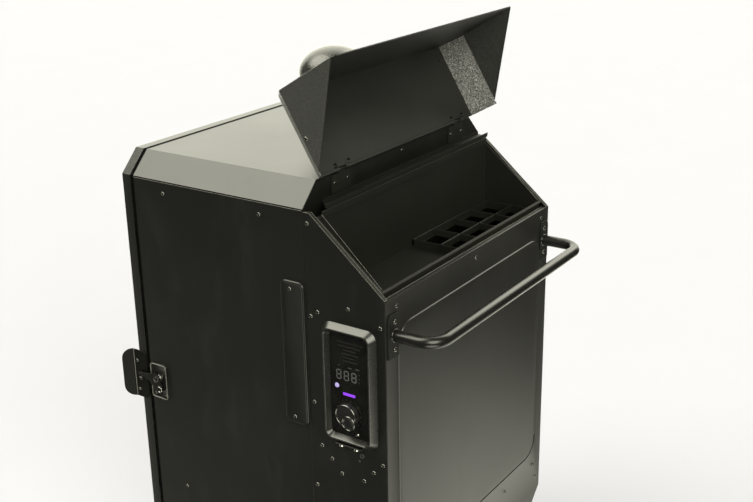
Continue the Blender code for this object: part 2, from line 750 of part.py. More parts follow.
# ------------------------------------------------------------------ rear housing
def hopper_side(tag, side, opening):
    """Side sheet of the rear housing with a lip folded in along the sloping rim."""
    low_z = top_z(-BODY_H + CHAMFER) + 0.0008
    rim_front_z = top_z(RIM_Z0)
    rim_back_z = top_z(RIM_Z0 + RIM_SLOPE * (HOUSING_IN_Y - RIM_Y0))
    lip_t = SHEET * 1.3
    sheet = prism([[(GAP, low_z), (HOUSING_IN_Y, low_z), (HOUSING_IN_Y, rim_back_z),
                    (RIM_Y0, rim_front_z), (GAP, rim_front_z)], opening],
                  "X", *mirrored_range(side, HALF_W - SHEET, HALF_W))
    union(sheet, prism([[(RIM_Y0, rim_front_z), (RIM_Y0, rim_front_z - lip_t),
                         (HOUSING_IN_Y, rim_back_z - lip_t), (HOUSING_IN_Y, rim_back_z)]],
                       "X", *mirrored_range(side, HALF_W - RIM_LIP, HALF_W - SHEET / 2)))
    finish(sheet, "hopper_side_%s" % tag, "black_paint")


def power_inlet():
    """Socket in the left side of the rear housing."""
    inlet = prism([round_rect((0.0600, 0.1100, 0.3270, 0.3550), 0.004, 2)],
                  "X", -SKIN_X - 0.0025, -SKIN_X)
    union(inlet, box(-0.3110, -0.2920, 0.0704, 0.0996, 0.3304, 0.3516))
    cut(inlet, prism([round_rect((0.0730, 0.0970, 0.3325, 0.3495), 0.003, 2)],
                     "X", -0.320, -0.2960))
    finish(inlet, "power_inlet", "black_plastic")


def rear_panel():
    """Rear sheet with an embossed field and a folded top lip."""
    body = octagon()
    rim_z = top_z(RIM_Z1)
    outline = body[:3] + [(HALF_W, rim_z), (-HALF_W, rim_z), body[7]]
    field = (-0.2735, 0.2735, top_z(-0.7500), top_z(-0.2356))
    corner_r, slope_w = 0.040, 0.003
    panel = sheet_with_boss(outline, round_rect(field, corner_r, 6),
                            round_rect(field, corner_r - slope_w, 6, inset=slope_w),
                            y=HOUSING_D, thickness=SHEET, height=0.0025)
    lip_x = HALF_W - RIM_LIP - GAP
    union(panel, box(-lip_x, lip_x, HOUSING_D - 0.0100, HOUSING_D - SHEET / 2,
                     rim_z - SHEET, rim_z))
    finish(panel, "rear_panel", "black_paint")


DECK_Z = top_z(-0.200)                          # hopper deck
WELL_X0, WELL_X1 = -0.2885, -0.0040             # opening of the funnel in the deck
WELL_Y0, WELL_Y1 = 0.0330, 0.1420


def hopper_bin():
    """Walls, deck and funnel in one pressing, with a sloping flange round the top."""
    half_w, y0, y1 = 0.2965, 0.0235, 0.1550
    front_z, back_z = -0.0590, -0.1680          # flange height from the top face
    flange = 0.0030
    well_foot_z, outlet_z = top_z(-0.300), 0.3130
    outlet_half_w, outlet_y0, outlet_y1 = 0.018, 0.045, 0.095

    def level(z, x0, x1, ring_y0, ring_y1, grow=0.0):
        outline = rect(x0 - grow, x1 + grow, ring_y0 - grow, ring_y1 + grow)
        return [(x, y, z) for x, y in outline]

    def sloped(drop, grow):
        return [(x, y, top_z(front_z + (back_z - front_z) * (y - y0) / (y1 - y0)) - drop)
                for x, y in rect(-half_w - grow, half_w + grow, y0 - grow, y1 + grow)]

    walls = (-half_w, half_w, y0, y1)
    well = (WELL_X0, WELL_X1, WELL_Y0, WELL_Y1)
    outlet = (-outlet_half_w, outlet_half_w, outlet_y0, outlet_y1)
    pressing = loft([
        level(DECK_Z - SHEET, *walls),
        sloped(SHEET, 0.0),
        sloped(SHEET, flange),
        sloped(0.0, flange),
        sloped(0.0, -SHEET),
        level(DECK_Z, *walls, grow=-SHEET),
        level(DECK_Z, *well),
        level(well_foot_z, *well),
        level(outlet_z, *outlet),
        level(outlet_z, *outlet, grow=SHEET),
        level(well_foot_z - 0.0004, *well, grow=SHEET),
        level(DECK_Z - SHEET, *well, grow=SHEET)])
    finish(pressing, "hopper_bin", "black_paint")


def hopper_grate():
    """Grid of eight openings lying on the deck over the funnel."""
    overlap, half_bar = 0.0040, 0.001
    x0, x1 = WELL_X0 - overlap, WELL_X1 + overlap
    y0, y1 = WELL_Y0 - overlap, WELL_Y1 + overlap
    xs = (x0 + half_bar, -0.2194, -0.1528, -0.0760, x1 - half_bar)      # bar centres
    ys = (y0 + half_bar, 0.0915, y1 - half_bar)
    holes = [rect(xa + half_bar, xb - half_bar, ya + half_bar, yb - half_bar)
             for xa, xb in zip(xs, xs[1:]) for ya, yb in zip(ys, ys[1:])]
    grate = prism([rect(x0, x1, y0, y1)] + holes, "Z", DECK_Z + GAP, DECK_Z + 0.0138)
    finish(grate, "hopper_grate", "black_paint")


def rain_gutter():
    """Channel under the lid hinge, its right end cut off at a slant."""
    # section: y, height from the top face
    section = [(GAP, -0.0395), (GAP, -0.0467), (0.0268, -0.0467), (0.0280, -0.0375),
               (0.0268, -0.0373), (0.0257, -0.0455), (GAP + SHEET, -0.0455),
               (GAP + SHEET, -0.0395)]
    gutter = prism([[(y, top_z(h)) for y, h in section]], "X", -0.3005, 0.2850)
    slant = [(0.2480, -0.002), (0.300, -0.002), (0.300, 0.040), (0.2900, 0.040)]
    cut(gutter, prism([slant], "Z", top_z(-0.06), top_z(-0.03)))
    finish(gutter, "rain_gutter", "black_paint")


# ------------------------------------------------------------------ hopper lid
LID_ANGLE = math.radians(121.0)         # opening angle
LID_RISE = 0.003                        # hinge axis above the top face
LID_PIVOT = (0.0, 0.003, top_z(LID_RISE))
LID_D = 0.158                           # hinge line to the lid's front flange
LID_FLANGE_W = 0.178                    # depth of the lid's front flange
LID_HINGES = (("left", -0.2108), ("right", 0.1945))     # x of the two hinges
KNUCKLE_R = 0.0024


def lid_point(x, v, w):
    """v runs from the hinge over the lid, w runs down when the lid is shut."""
    cos_a, sin_a = math.cos(LID_ANGLE), math.sin(LID_ANGLE)
    return (x, LID_PIVOT[1] + v * cos_a + w * sin_a, LID_PIVOT[2] + v * sin_a - w * cos_a)


def lid_shell():
    """Folded lid sheet: main panel, chamfer strips, side walls and front flange."""
    hinge_v = -0.0020
    chamfer_w = LID_RISE + CHAMFER              # lower edge of the chamfer strip
    # lower edge of the side wall at the flange, just above the hopper rim
    rim = RIM_Z0 + RIM_SLOPE * (LID_D + LID_PIVOT[1] - RIM_Y0)
    wall_w = LID_RISE - rim - 0.0016
    panel_x, flange_x = HALF_W - CHAMFER, HALF_W - 0.0105
    bm = bmesh.new()
    corners = []
    for side in (1, -1):
        # x, v, w of the corners of one side
        corners.append([bm.verts.new(lid_point(side * x, v, w)) for x, v, w in (
            (panel_x, hinge_v, LID_RISE), (panel_x, LID_D, LID_RISE),
            (HALF_W, hinge_v, chamfer_w), (HALF_W, 0.0066, chamfer_w),
            (HALF_W, LID_D, chamfer_w), (HALF_W, LID_D, wall_w),
            (flange_x, LID_D, wall_w), (flange_x, LID_D, LID_FLANGE_W))])
    (panel_r, panel_front_r, strip_r, kink_r, strip_front_r, wall_r, step_r, foot_r), (
        panel_l, panel_front_l, strip_l, kink_l, strip_front_l, wall_l, step_l, foot_l) = corners
    for face in ((panel_r, panel_front_r, panel_front_l, panel_l),
                 (panel_r, strip_r, kink_r, strip_front_r, panel_front_r),
                 (panel_l, panel_front_l, strip_front_l, kink_l, strip_l),
                 (kink_r, wall_r, strip_front_r),
                 (kink_l, strip_front_l, wall_l),
                 (panel_front_r, strip_front_r, wall_r, step_r, foot_r,
                  foot_l, step_l, wall_l, strip_front_l, panel_front_l)):
        bm.faces.new(face)
    bmesh.ops.recalc_face_normals(bm, faces=bm.faces)
    mesh = bpy.data.meshes.new("hopper_lid")
    bm.to_mesh(mesh)
    bm.free()
    # the outward side of the main panel faces away from +w
    outward = Vector(lid_point(0, 0, 0)) - Vector(lid_point(0, 0, 1))
    if mesh.polygons[0].normal.dot(outward) < 0:
        mesh.flip_normals()
    shell = new_object(mesh)
    solidify = shell.modifiers.new("sheet", "SOLIDIFY")
    solidify.thickness = SHEET
    solidify.offset = -1
    solidify.use_even_offset = True
    solidify.use_quality_normals = True
    bake(shell)
    return shell


def lid_knuckle(x0, x1):
    """Bored knuckle with a tab reaching under the main panel."""
    knuckle = cylinder("X", (0, *LID_PIVOT[1:]), KNUCKLE_R, x0, x1, 12)
    under_w, over_w = LID_RISE + SHEET + 0.0012, LID_RISE + 0.0006
    tab = [(-0.0010, -0.0012), (-0.0010, 0.0012), (0.0030, under_w),
           (0.0130, under_w), (0.0130, over_w), (0.0045, over_w)]        # v, w
    union(knuckle, slab([lid_point(x0, v, w) for v, w in tab],
                        [lid_point(x1, v, w) for v, w in tab]))
    cut(knuckle, cylinder("X", (0, *LID_PIVOT[1:]), 0.0014, x0 - 0.001, x1 + 0.001, 12))
    return knuckle


def hopper_lid():
    lid = lid_shell()
    opened = Matrix.Translation(LID_PIVOT) @ Matrix.Rotation(LID_ANGLE, 4, "X")
    for _, x in LID_HINGES:             # clearance for the fixed knuckles
        notch = box(x - 0.0101, x + 0.0101, -0.010, 0.0040, -0.008, 0.0)
        boolean(lid, moved(notch, opened), "DIFFERENCE", "MANIFOLD")
    for _, x in LID_HINGES:
        for side in (-1, 1):
            x0, x1 = sorted((x + side * 0.0105, x + side * 0.0245))
            boolean(lid, lid_knuckle(x0, x1), "UNION", "MANIFOLD")
    finish(lid, "hopper_lid", "textured_paint", pivot=LID_PIVOT)


def lid_hinge(tag, x):
    """Fixed plate on the back wall with neck, knuckle and pin."""
    half_knuckle = 0.0095
    bounds = (x - 0.0290, x + 0.0290, top_z(-0.0380), top_z(-0.0035))
    hinge = prism([round_rect(bounds, 0.003, 2)], "Y", GAP, GAP + 0.0012)
    union(hinge,
          box(x - half_knuckle, x + half_knuckle, GAP, GAP + 0.0020,
              top_z(-0.0050), top_z(0.0030)),
          cylinder("X", LID_PIVOT, KNUCKLE_R, x - half_knuckle, x + half_knuckle, 12),
          cylinder("X", LID_PIVOT, 0.0011, x - 0.0255, x + 0.0255, 12))
    finish(hinge, "lid_hinge_%s" % tag, "black_paint", SMOOTH)


# ------------------------------------------------------------------ chimney
def chimney_pipe():
    """Pipe with a collar on the top panel and a bored bar across the inside."""
    bore_r = CHIMNEY_R - 0.0012
    foot, end = -0.034, 0.092
    pipe = lathe([(bore_r, foot), (CHIMNEY_R, foot), (CHIMNEY_R, 0.0004), (0.060, 0.0004),
                  (0.060, 0.0016), (CHIMNEY_R + 0.003, 0.0028), (CHIMNEY_R, 0.0050),
                  (CHIMNEY_R, end), (bore_r, end)],
                 "Z", (CHIMNEY_X, CHIMNEY_Y, TOP), 24, ring=True)
    bar_half = CHIMNEY_R - 0.0006
    union(pipe, box(CHIMNEY_X - bar_half, CHIMNEY_X + bar_half, CHIMNEY_Y - 0.006,
                    CHIMNEY_Y + 0.006, top_z(0.060), top_z(0.063)))
    cut(pipe, cylinder("Z", (CHIMNEY_X, CHIMNEY_Y, top_z(0.06)), 0.0034, -0.01, 0.01, 16))
    finish(pipe, "chimney_pipe", "hammered", SMOOTH)


def chimney_cap():
    """Domed cap with a stem that passes through the pipe's cross bar."""
    dome_r, dome_h, steps = 0.069, 0.050, 6
    skirt_z, stem_r, stem_end = -0.006, 0.0030, -0.078
    centre = (CHIMNEY_X, CHIMNEY_Y, top_z(0.130))       # at the dome's equator

    def arc(r, h):
        """Dome profile from the equator up, stopping short of the crown."""
        angles = [math.pi / 2 * i / steps for i in range(steps)]
        return [(r * math.cos(a), h * math.sin(a)) for a in angles]

    profile = ([(0.0, dome_h)] + arc(dome_r, dome_h)[::-1]
               + [(dome_r, skirt_z), (dome_r - SHEET, skirt_z)]
               + arc(dome_r - SHEET, dome_h - SHEET)
               + [(stem_r, dome_h - SHEET), (stem_r, stem_end), (0.0, stem_end)])
    finish(lathe(profile, "Z", centre, 24), "chimney_cap", "hammered", SMOOTH, pivot=centre)


# ------------------------------------------------------------------ controls
BEZEL = (0.0345, 0.1505, top_z(-0.4735), top_z(-0.2395))       # y and z bounds
KNOB_Y, KNOB_Z = 0.0897, top_z(-0.411)
BUTTON_Y, BUTTON_Z = 0.0650, top_z(-0.3602)


def control_bezel():
    # inset, corner radius, distance out from the side
    stations = [(0.0, 0.020, 0.0), (0.0, 0.020, 0.001), (0.0085, 0.015, 0.0130),
                (0.0130, 0.011, 0.0130), (0.0165, 0.008, 0.0028), (0.0165, 0.008, 0.0)]
    bezel = loft([at_x(SKIN_X + out, round_rect(BEZEL, r, 5, inset))
                  for inset, r, out in stations])
    finish(bezel, "control_bezel", "black_plastic", PRESSED_SMOOTH)


def display_glass():
    glass = prism([round_rect(BEZEL, 0.007, 4, inset=0.0170),
                   circle(KNOB_Y, KNOB_Z, 0.0042, 16),
                   circle(BUTTON_Y, BUTTON_Z, 0.0050, 16)], "X", SKIN_X + 0.0002, SKIN_X + 0.0024)
    finish(glass, "display_glass", "glossy_panel")


def controller_housing():
    """Stepped box behind the display, reaching into the side sheet's opening."""
    bounds = (0.0440, 0.1390, top_z(-0.4660), top_z(-0.2470))
    housing = prism([round_rect(bounds, 0.005, 2)], "X", 0.2640, 0.2950)
    union(housing, prism([round_rect(bounds, 0.003, 2, inset=0.0120)], "X", 0.2940, 0.3085))
    cut(housing, cylinder("X", (0.300, KNOB_Y, KNOB_Z), 0.0045, -0.0050, 0.02, 16),
        cylinder("X", (0.300, BUTTON_Y, BUTTON_Z), 0.0054, 0.0050, 0.02, 16))
    finish(housing, "controller_housing", "black_plastic")


def control_knob():
    """Knob on a spindle, with a small round cup off centre on its face."""
    x = SKIN_X + 0.0028
    knob = lathe([(0.0, -0.0120), (0.0034, -0.0120), (0.0034, 0.0), (0.0220, 0.0),
                  (0.0227, 0.0010), (0.0222, 0.0110), (0.0210, 0.0125), (0, 0.0125)],
                 "X", (x, KNOB_Y, KNOB_Z), 24)
    union(knob, lathe([(0, 0.010), (0.0142, 0.010), (0.0142, 0.0145), (0.0128, 0.0155),
                       (0.0120, 0.0145), (0.0, 0.0138)],
                      "X", (x, KNOB_Y + 0.0085, KNOB_Z - 0.0110), 16))
    finish(knob, "control_knob", "black_plastic", SMOOTH, pivot=(x, KNOB_Y, KNOB_Z))


def power_button():
    button = lathe([(0, -0.0040), (0.0046, -0.0040), (0.0046, 0.0004), (0.0040, 0.0012),
                    (0, 0.0014)], "X", (SKIN_X + 0.0024, BUTTON_Y, BUTTON_Z), 20)
    finish(button, "power_button", "violet_button", SMOOTH,
           pivot=(SKIN_X, BUTTON_Y, BUTTON_Z))


def probe_jacks():
    """Strip under the bezel with two jacks facing down."""
    low_z = top_z(-0.4762)
    jacks = prism([round_rect((0.0615, 0.1185, low_z, top_z(-0.4738)), 0.0010, 2)],
                  "X", SKIN_X, SKIN_X + 0.0095)
    for y in (0.0735, 0.1065):
        union(jacks, lathe([(0, 0.001), (0.0049, 0.001), (0.0049, -0.0030), (0.0036, -0.0042),
                            (0.0020, -0.0042), (0.0020, -0.0020), (0, -0.0020)],
                           "Z", (SKIN_X + 0.0051, y, low_z), 16))
    finish(jacks, "probe_jacks", "chrome_part", SMOOTH)


def side_cover_plate():
    """Plate beside the side seam, clear of the rear housing."""
    bounds = (-0.0550, -0.0020, top_z(-0.4640), top_z(-0.1800))
    corner_r, bevel = 0.013, 0.0025
    outline = round_rect(bounds, corner_r, 5)
    plate = loft([at_x(SKIN_X, outline), at_x(SKIN_X + 0.0016, outline),
                  at_x(SKIN_X + 0.0034, round_rect(bounds, corner_r - bevel, 5, inset=bevel))],
                 closed=False)
    finish(plate, "side_cover_plate", "black_paint", PRESSED_SMOOTH)


# ------------------------------------------------------------------ push handle
def push_handle():
    """Bent tube across the rear panel on two bracket plates."""
    tube_r, bend_r, bend_steps = 0.0112, 0.036, 7
    end_x = 0.2860
    back_y = HOUSING_D + 0.086
    z = top_z(-0.248)
    path = [(end_x, HOUSING_D + 0.0010, z), (end_x, back_y - bend_r, z)]
    for i in range(1, bend_steps + 1):
        a = math.radians(90.0 * i / bend_steps)
        path.append((end_x - bend_r + bend_r * math.cos(a),
                     back_y - bend_r + bend_r * math.sin(a), z))
    path += [(-x, y, z) for x, y, z in path[::-1]]
    handle = sweep(path, tube_r, 14)
    low, side_mark, high = top_z(-0.2880), top_z(-0.2180), top_z(-0.2080)
    for side in (1, -1):
        x0, x1 = mirrored_range(side, 0.2745, 0.3060)
        union(handle, prism([[(x0, low), (x1, low), (x1, side_mark), (x1, high), (x0, high)]],
                            "Y", HOUSING_D + GAP, HOUSING_D + 0.0032))
    finish(handle, "push_handle", "satin_tube", SMOOTH)


# ------------------------------------------------------------------ base frame, wheels, casters
WHEEL_R = 0.075
AXLE_CENTRE = (0, 0.110, WHEEL_R)
CASTER_R = 0.0375
CASTER_X, CASTER_Y = 0.250, -0.360
CASTER_TRAIL = 0.018        # caster wheel axis in front of the swivel axis

# Front halves of the wheel sections: radius, distance along the axle.
WHEEL_SECTION = [(0.0064, -0.0140), (0.0170, -0.0140), (0.0190, -0.0090), (0.0520, -0.0070),
                 (0.0560, -0.0130), (0.0690, -0.0140), (WHEEL_R, -0.0090)]
CASTER_SECTION = [(0.0044, -0.0110), (0.0120, -0.0110), (0.0140, -0.0090), (0.0270, -0.0090),
                  (0.0290, -0.0110), (0.0350, -0.0110), (CASTER_R, -0.0080)]


def base_frame():
    """Rectangular frame with four legs, caster plates, drawer runners and a cross bar."""
    z0, z1 = 0.1840, 0.2037
    leg_top = z0 + 0.001
    outer_x, inner_x = 0.265, 0.235
    front, front_in, back_in, back = -0.375, -0.345, 0.095, 0.125
    frame = prism([rect(-outer_x, outer_x, front, back),
                   rect(-inner_x, inner_x, front_in, back_in)], "Z", z0, z1)
    plate = 0.028           # half size of a caster plate
    runner_x, runner_out_x, runner_in_x, runner_z = 0.1213, 0.1243, 0.1050, 0.1470
    for side in (1, -1):
        leg = mirrored_range(side, inner_x, outer_x)
        web = mirrored_range(side, runner_x, runner_out_x)
        ledge = mirrored_range(side, runner_in_x, runner_out_x)
        caster_x = side * CASTER_X
        union(frame, box(*leg, front, front_in, 0.1050, leg_top),
              box(caster_x - plate, caster_x + plate, CASTER_Y - plate, CASTER_Y + plate,
                  0.1045, 0.1075),
              box(*leg, back_in, back, 0.0550, leg_top))
        union(frame, box(*web, front, -0.110, runner_z, leg_top),
              box(*ledge, front, -0.110, runner_z, 0.1499))
    union(frame, box(-0.236, 0.236, -0.130, -0.100, z0, z1))
    cut(frame, cylinder("X", AXLE_CENTRE, 0.0063, -0.3, 0.3, 20))
    finish(frame, "base_frame", "black_paint")


def axle():
    """Bar with a wider head at each end."""
    r, head_r, neck_x, end_x = 0.0060, 0.0080, 0.3040, 0.3080
    bar = lathe([(0, -end_x), (head_r, -end_x), (head_r, -neck_x), (r, -neck_x),
                 (r, neck_x), (head_r, neck_x), (head_r, end_x), (0, end_x)],
                "X", AXLE_CENTRE, 20)
    finish(bar, "axle", "galvanised", SMOOTH)


def wheel(name, half_section, centre, seg):
    section = half_section + [(r, -h) for r, h in half_section[::-1]]
    finish(lathe(section, "X", centre, seg, ring=True), name, "rubber", SMOOTH, pivot=centre)


def caster_fork(tag, x):
    """Swivel head, two fork cheeks, their bridge and the wheel's pin."""
    y = CASTER_Y
    wheel_y = y - CASTER_TRAIL
    inner, outer = 0.0125, 0.0150       # cheek faces from the middle
    fork = lathe([(0, 0.0925), (0.0225, 0.0925), (0.0225, 0.0985), (0.0150, 0.1040),
                  (0, 0.1040)], "Z", (x, y, 0), 16)
    cheek = [(y + 0.016, 0.0940), (y - 0.020, 0.0940),
             (wheel_y - 0.010, 0.0300), (wheel_y + 0.006, 0.0280)]
    for side in (-1, 1):
        x0, x1 = sorted((x + side * inner, x + side * outer))
        union(fork, prism([cheek], "X", x0, x1))
    union(fork, box(x - outer, x + outer, y - 0.020, y + 0.016, 0.0910, 0.0940),
          cylinder("X", (x, wheel_y, CASTER_R), 0.0040, -0.0175, 0.0175, 16))
    finish(fork, "caster_fork_%s" % tag, "galvanised", SMOOTH, pivot=(x, y, 0.095))


# ------------------------------------------------------------------ assembly
def centre_footprint():
    """Move everything so that the origin is the middle of the footprint."""
    bpy.context.view_layer.update()
    pieces = list(bpy.data.objects)
    corners = [o.matrix_world @ v.co for o in pieces for v in o.data.vertices]
    xs = [c.x for c in corners]
    ys = [c.y for c in corners]
    mid_x = round((min(xs) + max(xs)) / 2, 4)
    mid_y = round((min(ys) + max(ys)) / 2, 4)
    for piece in pieces:
        piece.location.x -= mid_x
        piece.location.y -= mid_y


def build():
    for piece in (side_panels, top_panel, bottom_panel, back_wall, front_frame, inner_liner,
                  door_outer_skin, door_inner_liner, door_gasket, door_pull,
                  latch_base, latch_lever, water_pan, heat_baffle, grease_drawer,
                  fire_pot, igniter, auger_tube, auger_screw, auger_motor,
                  fan_housing, fan_impeller, temperature_probe,
                  power_inlet, rear_panel, hopper_bin, hopper_grate, rain_gutter,
                  hopper_lid, chimney_pipe, chimney_cap,
                  control_bezel, display_glass, controller_housing, control_knob,
                  power_button, probe_jacks, side_cover_plate,
                  push_handle, base_frame, axle):
        piece()
    door_hinge("upper", top_z(-0.150))
    door_hinge("lower", top_z(-0.746))
    for number, level in enumerate(RACK_LEVELS, 1):
        rack(number, level)
    # openings for the controller on the right and the power inlet on the left
    hopper_side("right", 1, round_rect((0.0540, 0.1290, top_z(-0.4560), top_z(-0.2570)),
                                       0.004, 2))
    hopper_side("left", -1, round_rect((0.070, 0.100, 0.3300, 0.3520), 0.0003, 1))
    for tag, x in LID_HINGES:
        lid_hinge(tag, x)
    for side, tag in ((1, "right"), (-1, "left")):
        wheel("wheel_%s" % tag, WHEEL_SECTION, (side * 0.2850, *AXLE_CENTRE[1:]), 24)
        caster_fork(tag, side * CASTER_X)
        wheel("caster_wheel_%s" % tag, CASTER_SECTION,
              (side * CASTER_X, CASTER_Y - CASTER_TRAIL, CASTER_R), 18)
    centre_footprint()


build()
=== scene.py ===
import bpy
import bmesh
import math
import random
from mathutils import Matrix, Vector, noise
from mathutils.geometry import tessellate_polygon


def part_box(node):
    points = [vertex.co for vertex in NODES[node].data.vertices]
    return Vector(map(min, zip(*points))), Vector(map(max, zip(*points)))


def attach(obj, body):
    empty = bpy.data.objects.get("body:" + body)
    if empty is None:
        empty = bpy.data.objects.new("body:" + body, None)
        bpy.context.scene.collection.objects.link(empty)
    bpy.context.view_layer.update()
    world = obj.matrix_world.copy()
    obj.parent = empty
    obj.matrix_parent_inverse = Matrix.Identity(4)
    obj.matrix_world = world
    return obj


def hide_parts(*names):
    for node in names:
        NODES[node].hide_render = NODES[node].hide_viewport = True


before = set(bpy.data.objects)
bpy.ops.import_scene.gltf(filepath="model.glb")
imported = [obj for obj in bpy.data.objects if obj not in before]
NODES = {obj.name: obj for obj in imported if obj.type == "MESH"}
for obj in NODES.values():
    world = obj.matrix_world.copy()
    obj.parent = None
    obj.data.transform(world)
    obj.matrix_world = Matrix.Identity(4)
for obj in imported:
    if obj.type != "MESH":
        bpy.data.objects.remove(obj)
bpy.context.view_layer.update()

# The layout below uses the part's own drawing planes: x = 0 on the body's plane of
# symmetry, y = 0 on the cabinet's back wall, z from the ground.  SX, SY carry it into
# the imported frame.
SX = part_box("side_panel_right")[1].x - 0.310
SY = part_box("back_wall")[1].y
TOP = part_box("top_panel")[1].z
SHIFT = Matrix.Translation((SX, SY, 0.0))

HW, CH, BODY_H, CAB_D, HOP_D, T = 0.310, 0.0425, 0.896, 0.4105, 0.170, 0.0012


def zt(d):
    return TOP + d


# ====================================================================== materials
def new_mat(name):
    m = bpy.data.materials.new(name)
    m.use_nodes = True
    nt = m.node_tree
    for n in list(nt.nodes):
        nt.nodes.remove(n)
    out = nt.nodes.new("ShaderNodeOutputMaterial")
    b = nt.nodes.new("ShaderNodeBsdfPrincipled")
    nt.links.new(b.outputs["BSDF"], out.inputs["Surface"])
    return m, nt, b


def N(nt, kind, **kw):
    n = nt.nodes.new(kind)
    for k, v in kw.items():
        if k.startswith("i_"):
            n.inputs[k[2:].replace("_", " ")].default_value = v
        else:
            setattr(n, k, v)
    return n


def coords(nt, scale=(1, 1, 1), rot=(0, 0, 0)):
    tc = N(nt, "ShaderNodeTexCoord")
    mp = N(nt, "ShaderNodeMapping")
    mp.inputs["Scale"].default_value = scale
    mp.inputs["Rotation"].default_value = rot
    nt.links.new(tc.outputs["Object"], mp.inputs["Vector"])
    return mp.outputs["Vector"]


def noise_tex(nt, vec, scale, detail=4.0, rough=0.5, dist=0.0):
    n = N(nt, "ShaderNodeTexNoise")
    n.inputs["Scale"].default_value = scale
    n.inputs["Detail"].default_value = detail
    n.inputs["Roughness"].default_value = rough
    n.inputs["Distortion"].default_value = dist
    nt.links.new(vec, n.inputs["Vector"])
    return n


def ramp(nt, fac, stops, interp="LINEAR"):
    r = N(nt, "ShaderNodeValToRGB")
    cr = r.color_ramp
    cr.interpolation = interp
    while len(cr.elements) > 1:
        cr.elements.remove(cr.elements[-1])
    cr.elements[0].position = stops[0][0]
    cr.elements[0].color = tuple(stops[0][1]) + ((1,) if len(stops[0][1]) == 3 else ())
    for p, c in stops[1:]:
        e = cr.elements.new(p)
        e.color = tuple(c) + ((1,) if len(c) == 3 else ())
    nt.links.new(fac, r.inputs["Fac"])
    return r.outputs["Color"]


def g(v):
    return (v, v, v)


def mix(nt, fac, a, b, mode="MIX"):
    m = N(nt, "ShaderNodeMix", data_type="RGBA", blend_type=mode)
    if isinstance(fac, (int, float)):
        m.inputs[0].default_value = fac
    else:
        nt.links.new(fac, m.inputs[0])
    for i, x in ((6, a), (7, b)):
        if isinstance(x, tuple):
            m.inputs[i].default_value = x + ((1,) if len(x) == 3 else ())
        else:
            nt.links.new(x, m.inputs[i])
    return m.outputs[2]


def math_n(nt, op, a, b=None, c=None):
    m = N(nt, "ShaderNodeMath", operation=op)
    for i, x in enumerate((a, b, c)):
        if x is None:
            continue
        if isinstance(x, (int, float)):
            m.inputs[i].default_value = x
        else:
            nt.links.new(x, m.inputs[i])
    return m.outputs[0]


def bump(nt, height, strength, dist, prev=None):
    b = N(nt, "ShaderNodeBump")
    b.inputs["Strength"].default_value = strength
    b.inputs["Distance"].default_value = dist
    nt.links.new(height, b.inputs["Height"])
    if prev is not None:
        nt.links.new(prev, b.inputs["Normal"])
    return b.outputs["Normal"]


def powder_coat(name, col=(0.0068, 0.0073, 0.0062), rough=0.33, spec=0.85, grain=0.5, dust=1.0):
    """Semi-gloss black powder coat: orange peel, faint clouding, specks of dust."""
    m, nt, b = new_mat(name)
    v = coords(nt)
    cloud = noise_tex(nt, v, 4.5, 5, 0.55, 0.3)
    fine = noise_tex(nt, v, 900, 2, 0.5)
    peel = noise_tex(nt, v, 330, 3, 0.55)
    c0 = mix(nt, ramp(nt, cloud.outputs["Fac"], [(0.30, g(0)), (0.75, g(1))]), tuple(x * 0.86 for x in col),
             tuple(x * 1.22 for x in col))
    # dust specks
    vor = N(nt, "ShaderNodeTexVoronoi", feature="F1")
    vor.inputs["Scale"].default_value = 95
    nt.links.new(v, vor.inputs["Vector"])
    patch = noise_tex(nt, v, 7.0, 2, 0.5)
    speck = math_n(nt, "MULTIPLY", ramp(nt, vor.outputs["Distance"], [(0.035, g(1)), (0.075, g(0))]),
                   ramp(nt, patch.outputs["Fac"], [(0.55, g(0)), (0.66, g(1))]))
    c1 = mix(nt, math_n(nt, "MULTIPLY", speck, 0.35 * dust), c0, (0.16, 0.155, 0.14))
    # fine rubbed dust film, in streaks drawn out up and down
    film = noise_tex(nt, coords(nt, (1, 1, 0.35)), 16, 6, 0.65)
    c2 = mix(nt, math_n(nt, "MULTIPLY", ramp(nt, film.outputs["Fac"], [(0.52, g(0)), (0.85, g(1))]), 0.10 * dust),
             c1, (0.10, 0.098, 0.088))
    nt.links.new(c2, b.inputs["Base Color"])
    r = math_n(nt, "ADD", math_n(nt, "MULTIPLY", cloud.outputs["Fac"], 0.10), rough - 0.05)
    r2 = math_n(nt, "ADD", r, math_n(nt, "MULTIPLY", speck, 0.25))
    nt.links.new(r2, b.inputs["Roughness"])
    b.inputs["Specular IOR Level"].default_value = spec
    n1 = bump(nt, fine.outputs["Fac"], 0.10 * grain, 0.0004)
    n2 = bump(nt, peel.outputs["Fac"], 0.16 * grain, 0.0006, n1)
    nt.links.new(n2, b.inputs["Normal"])
    return m


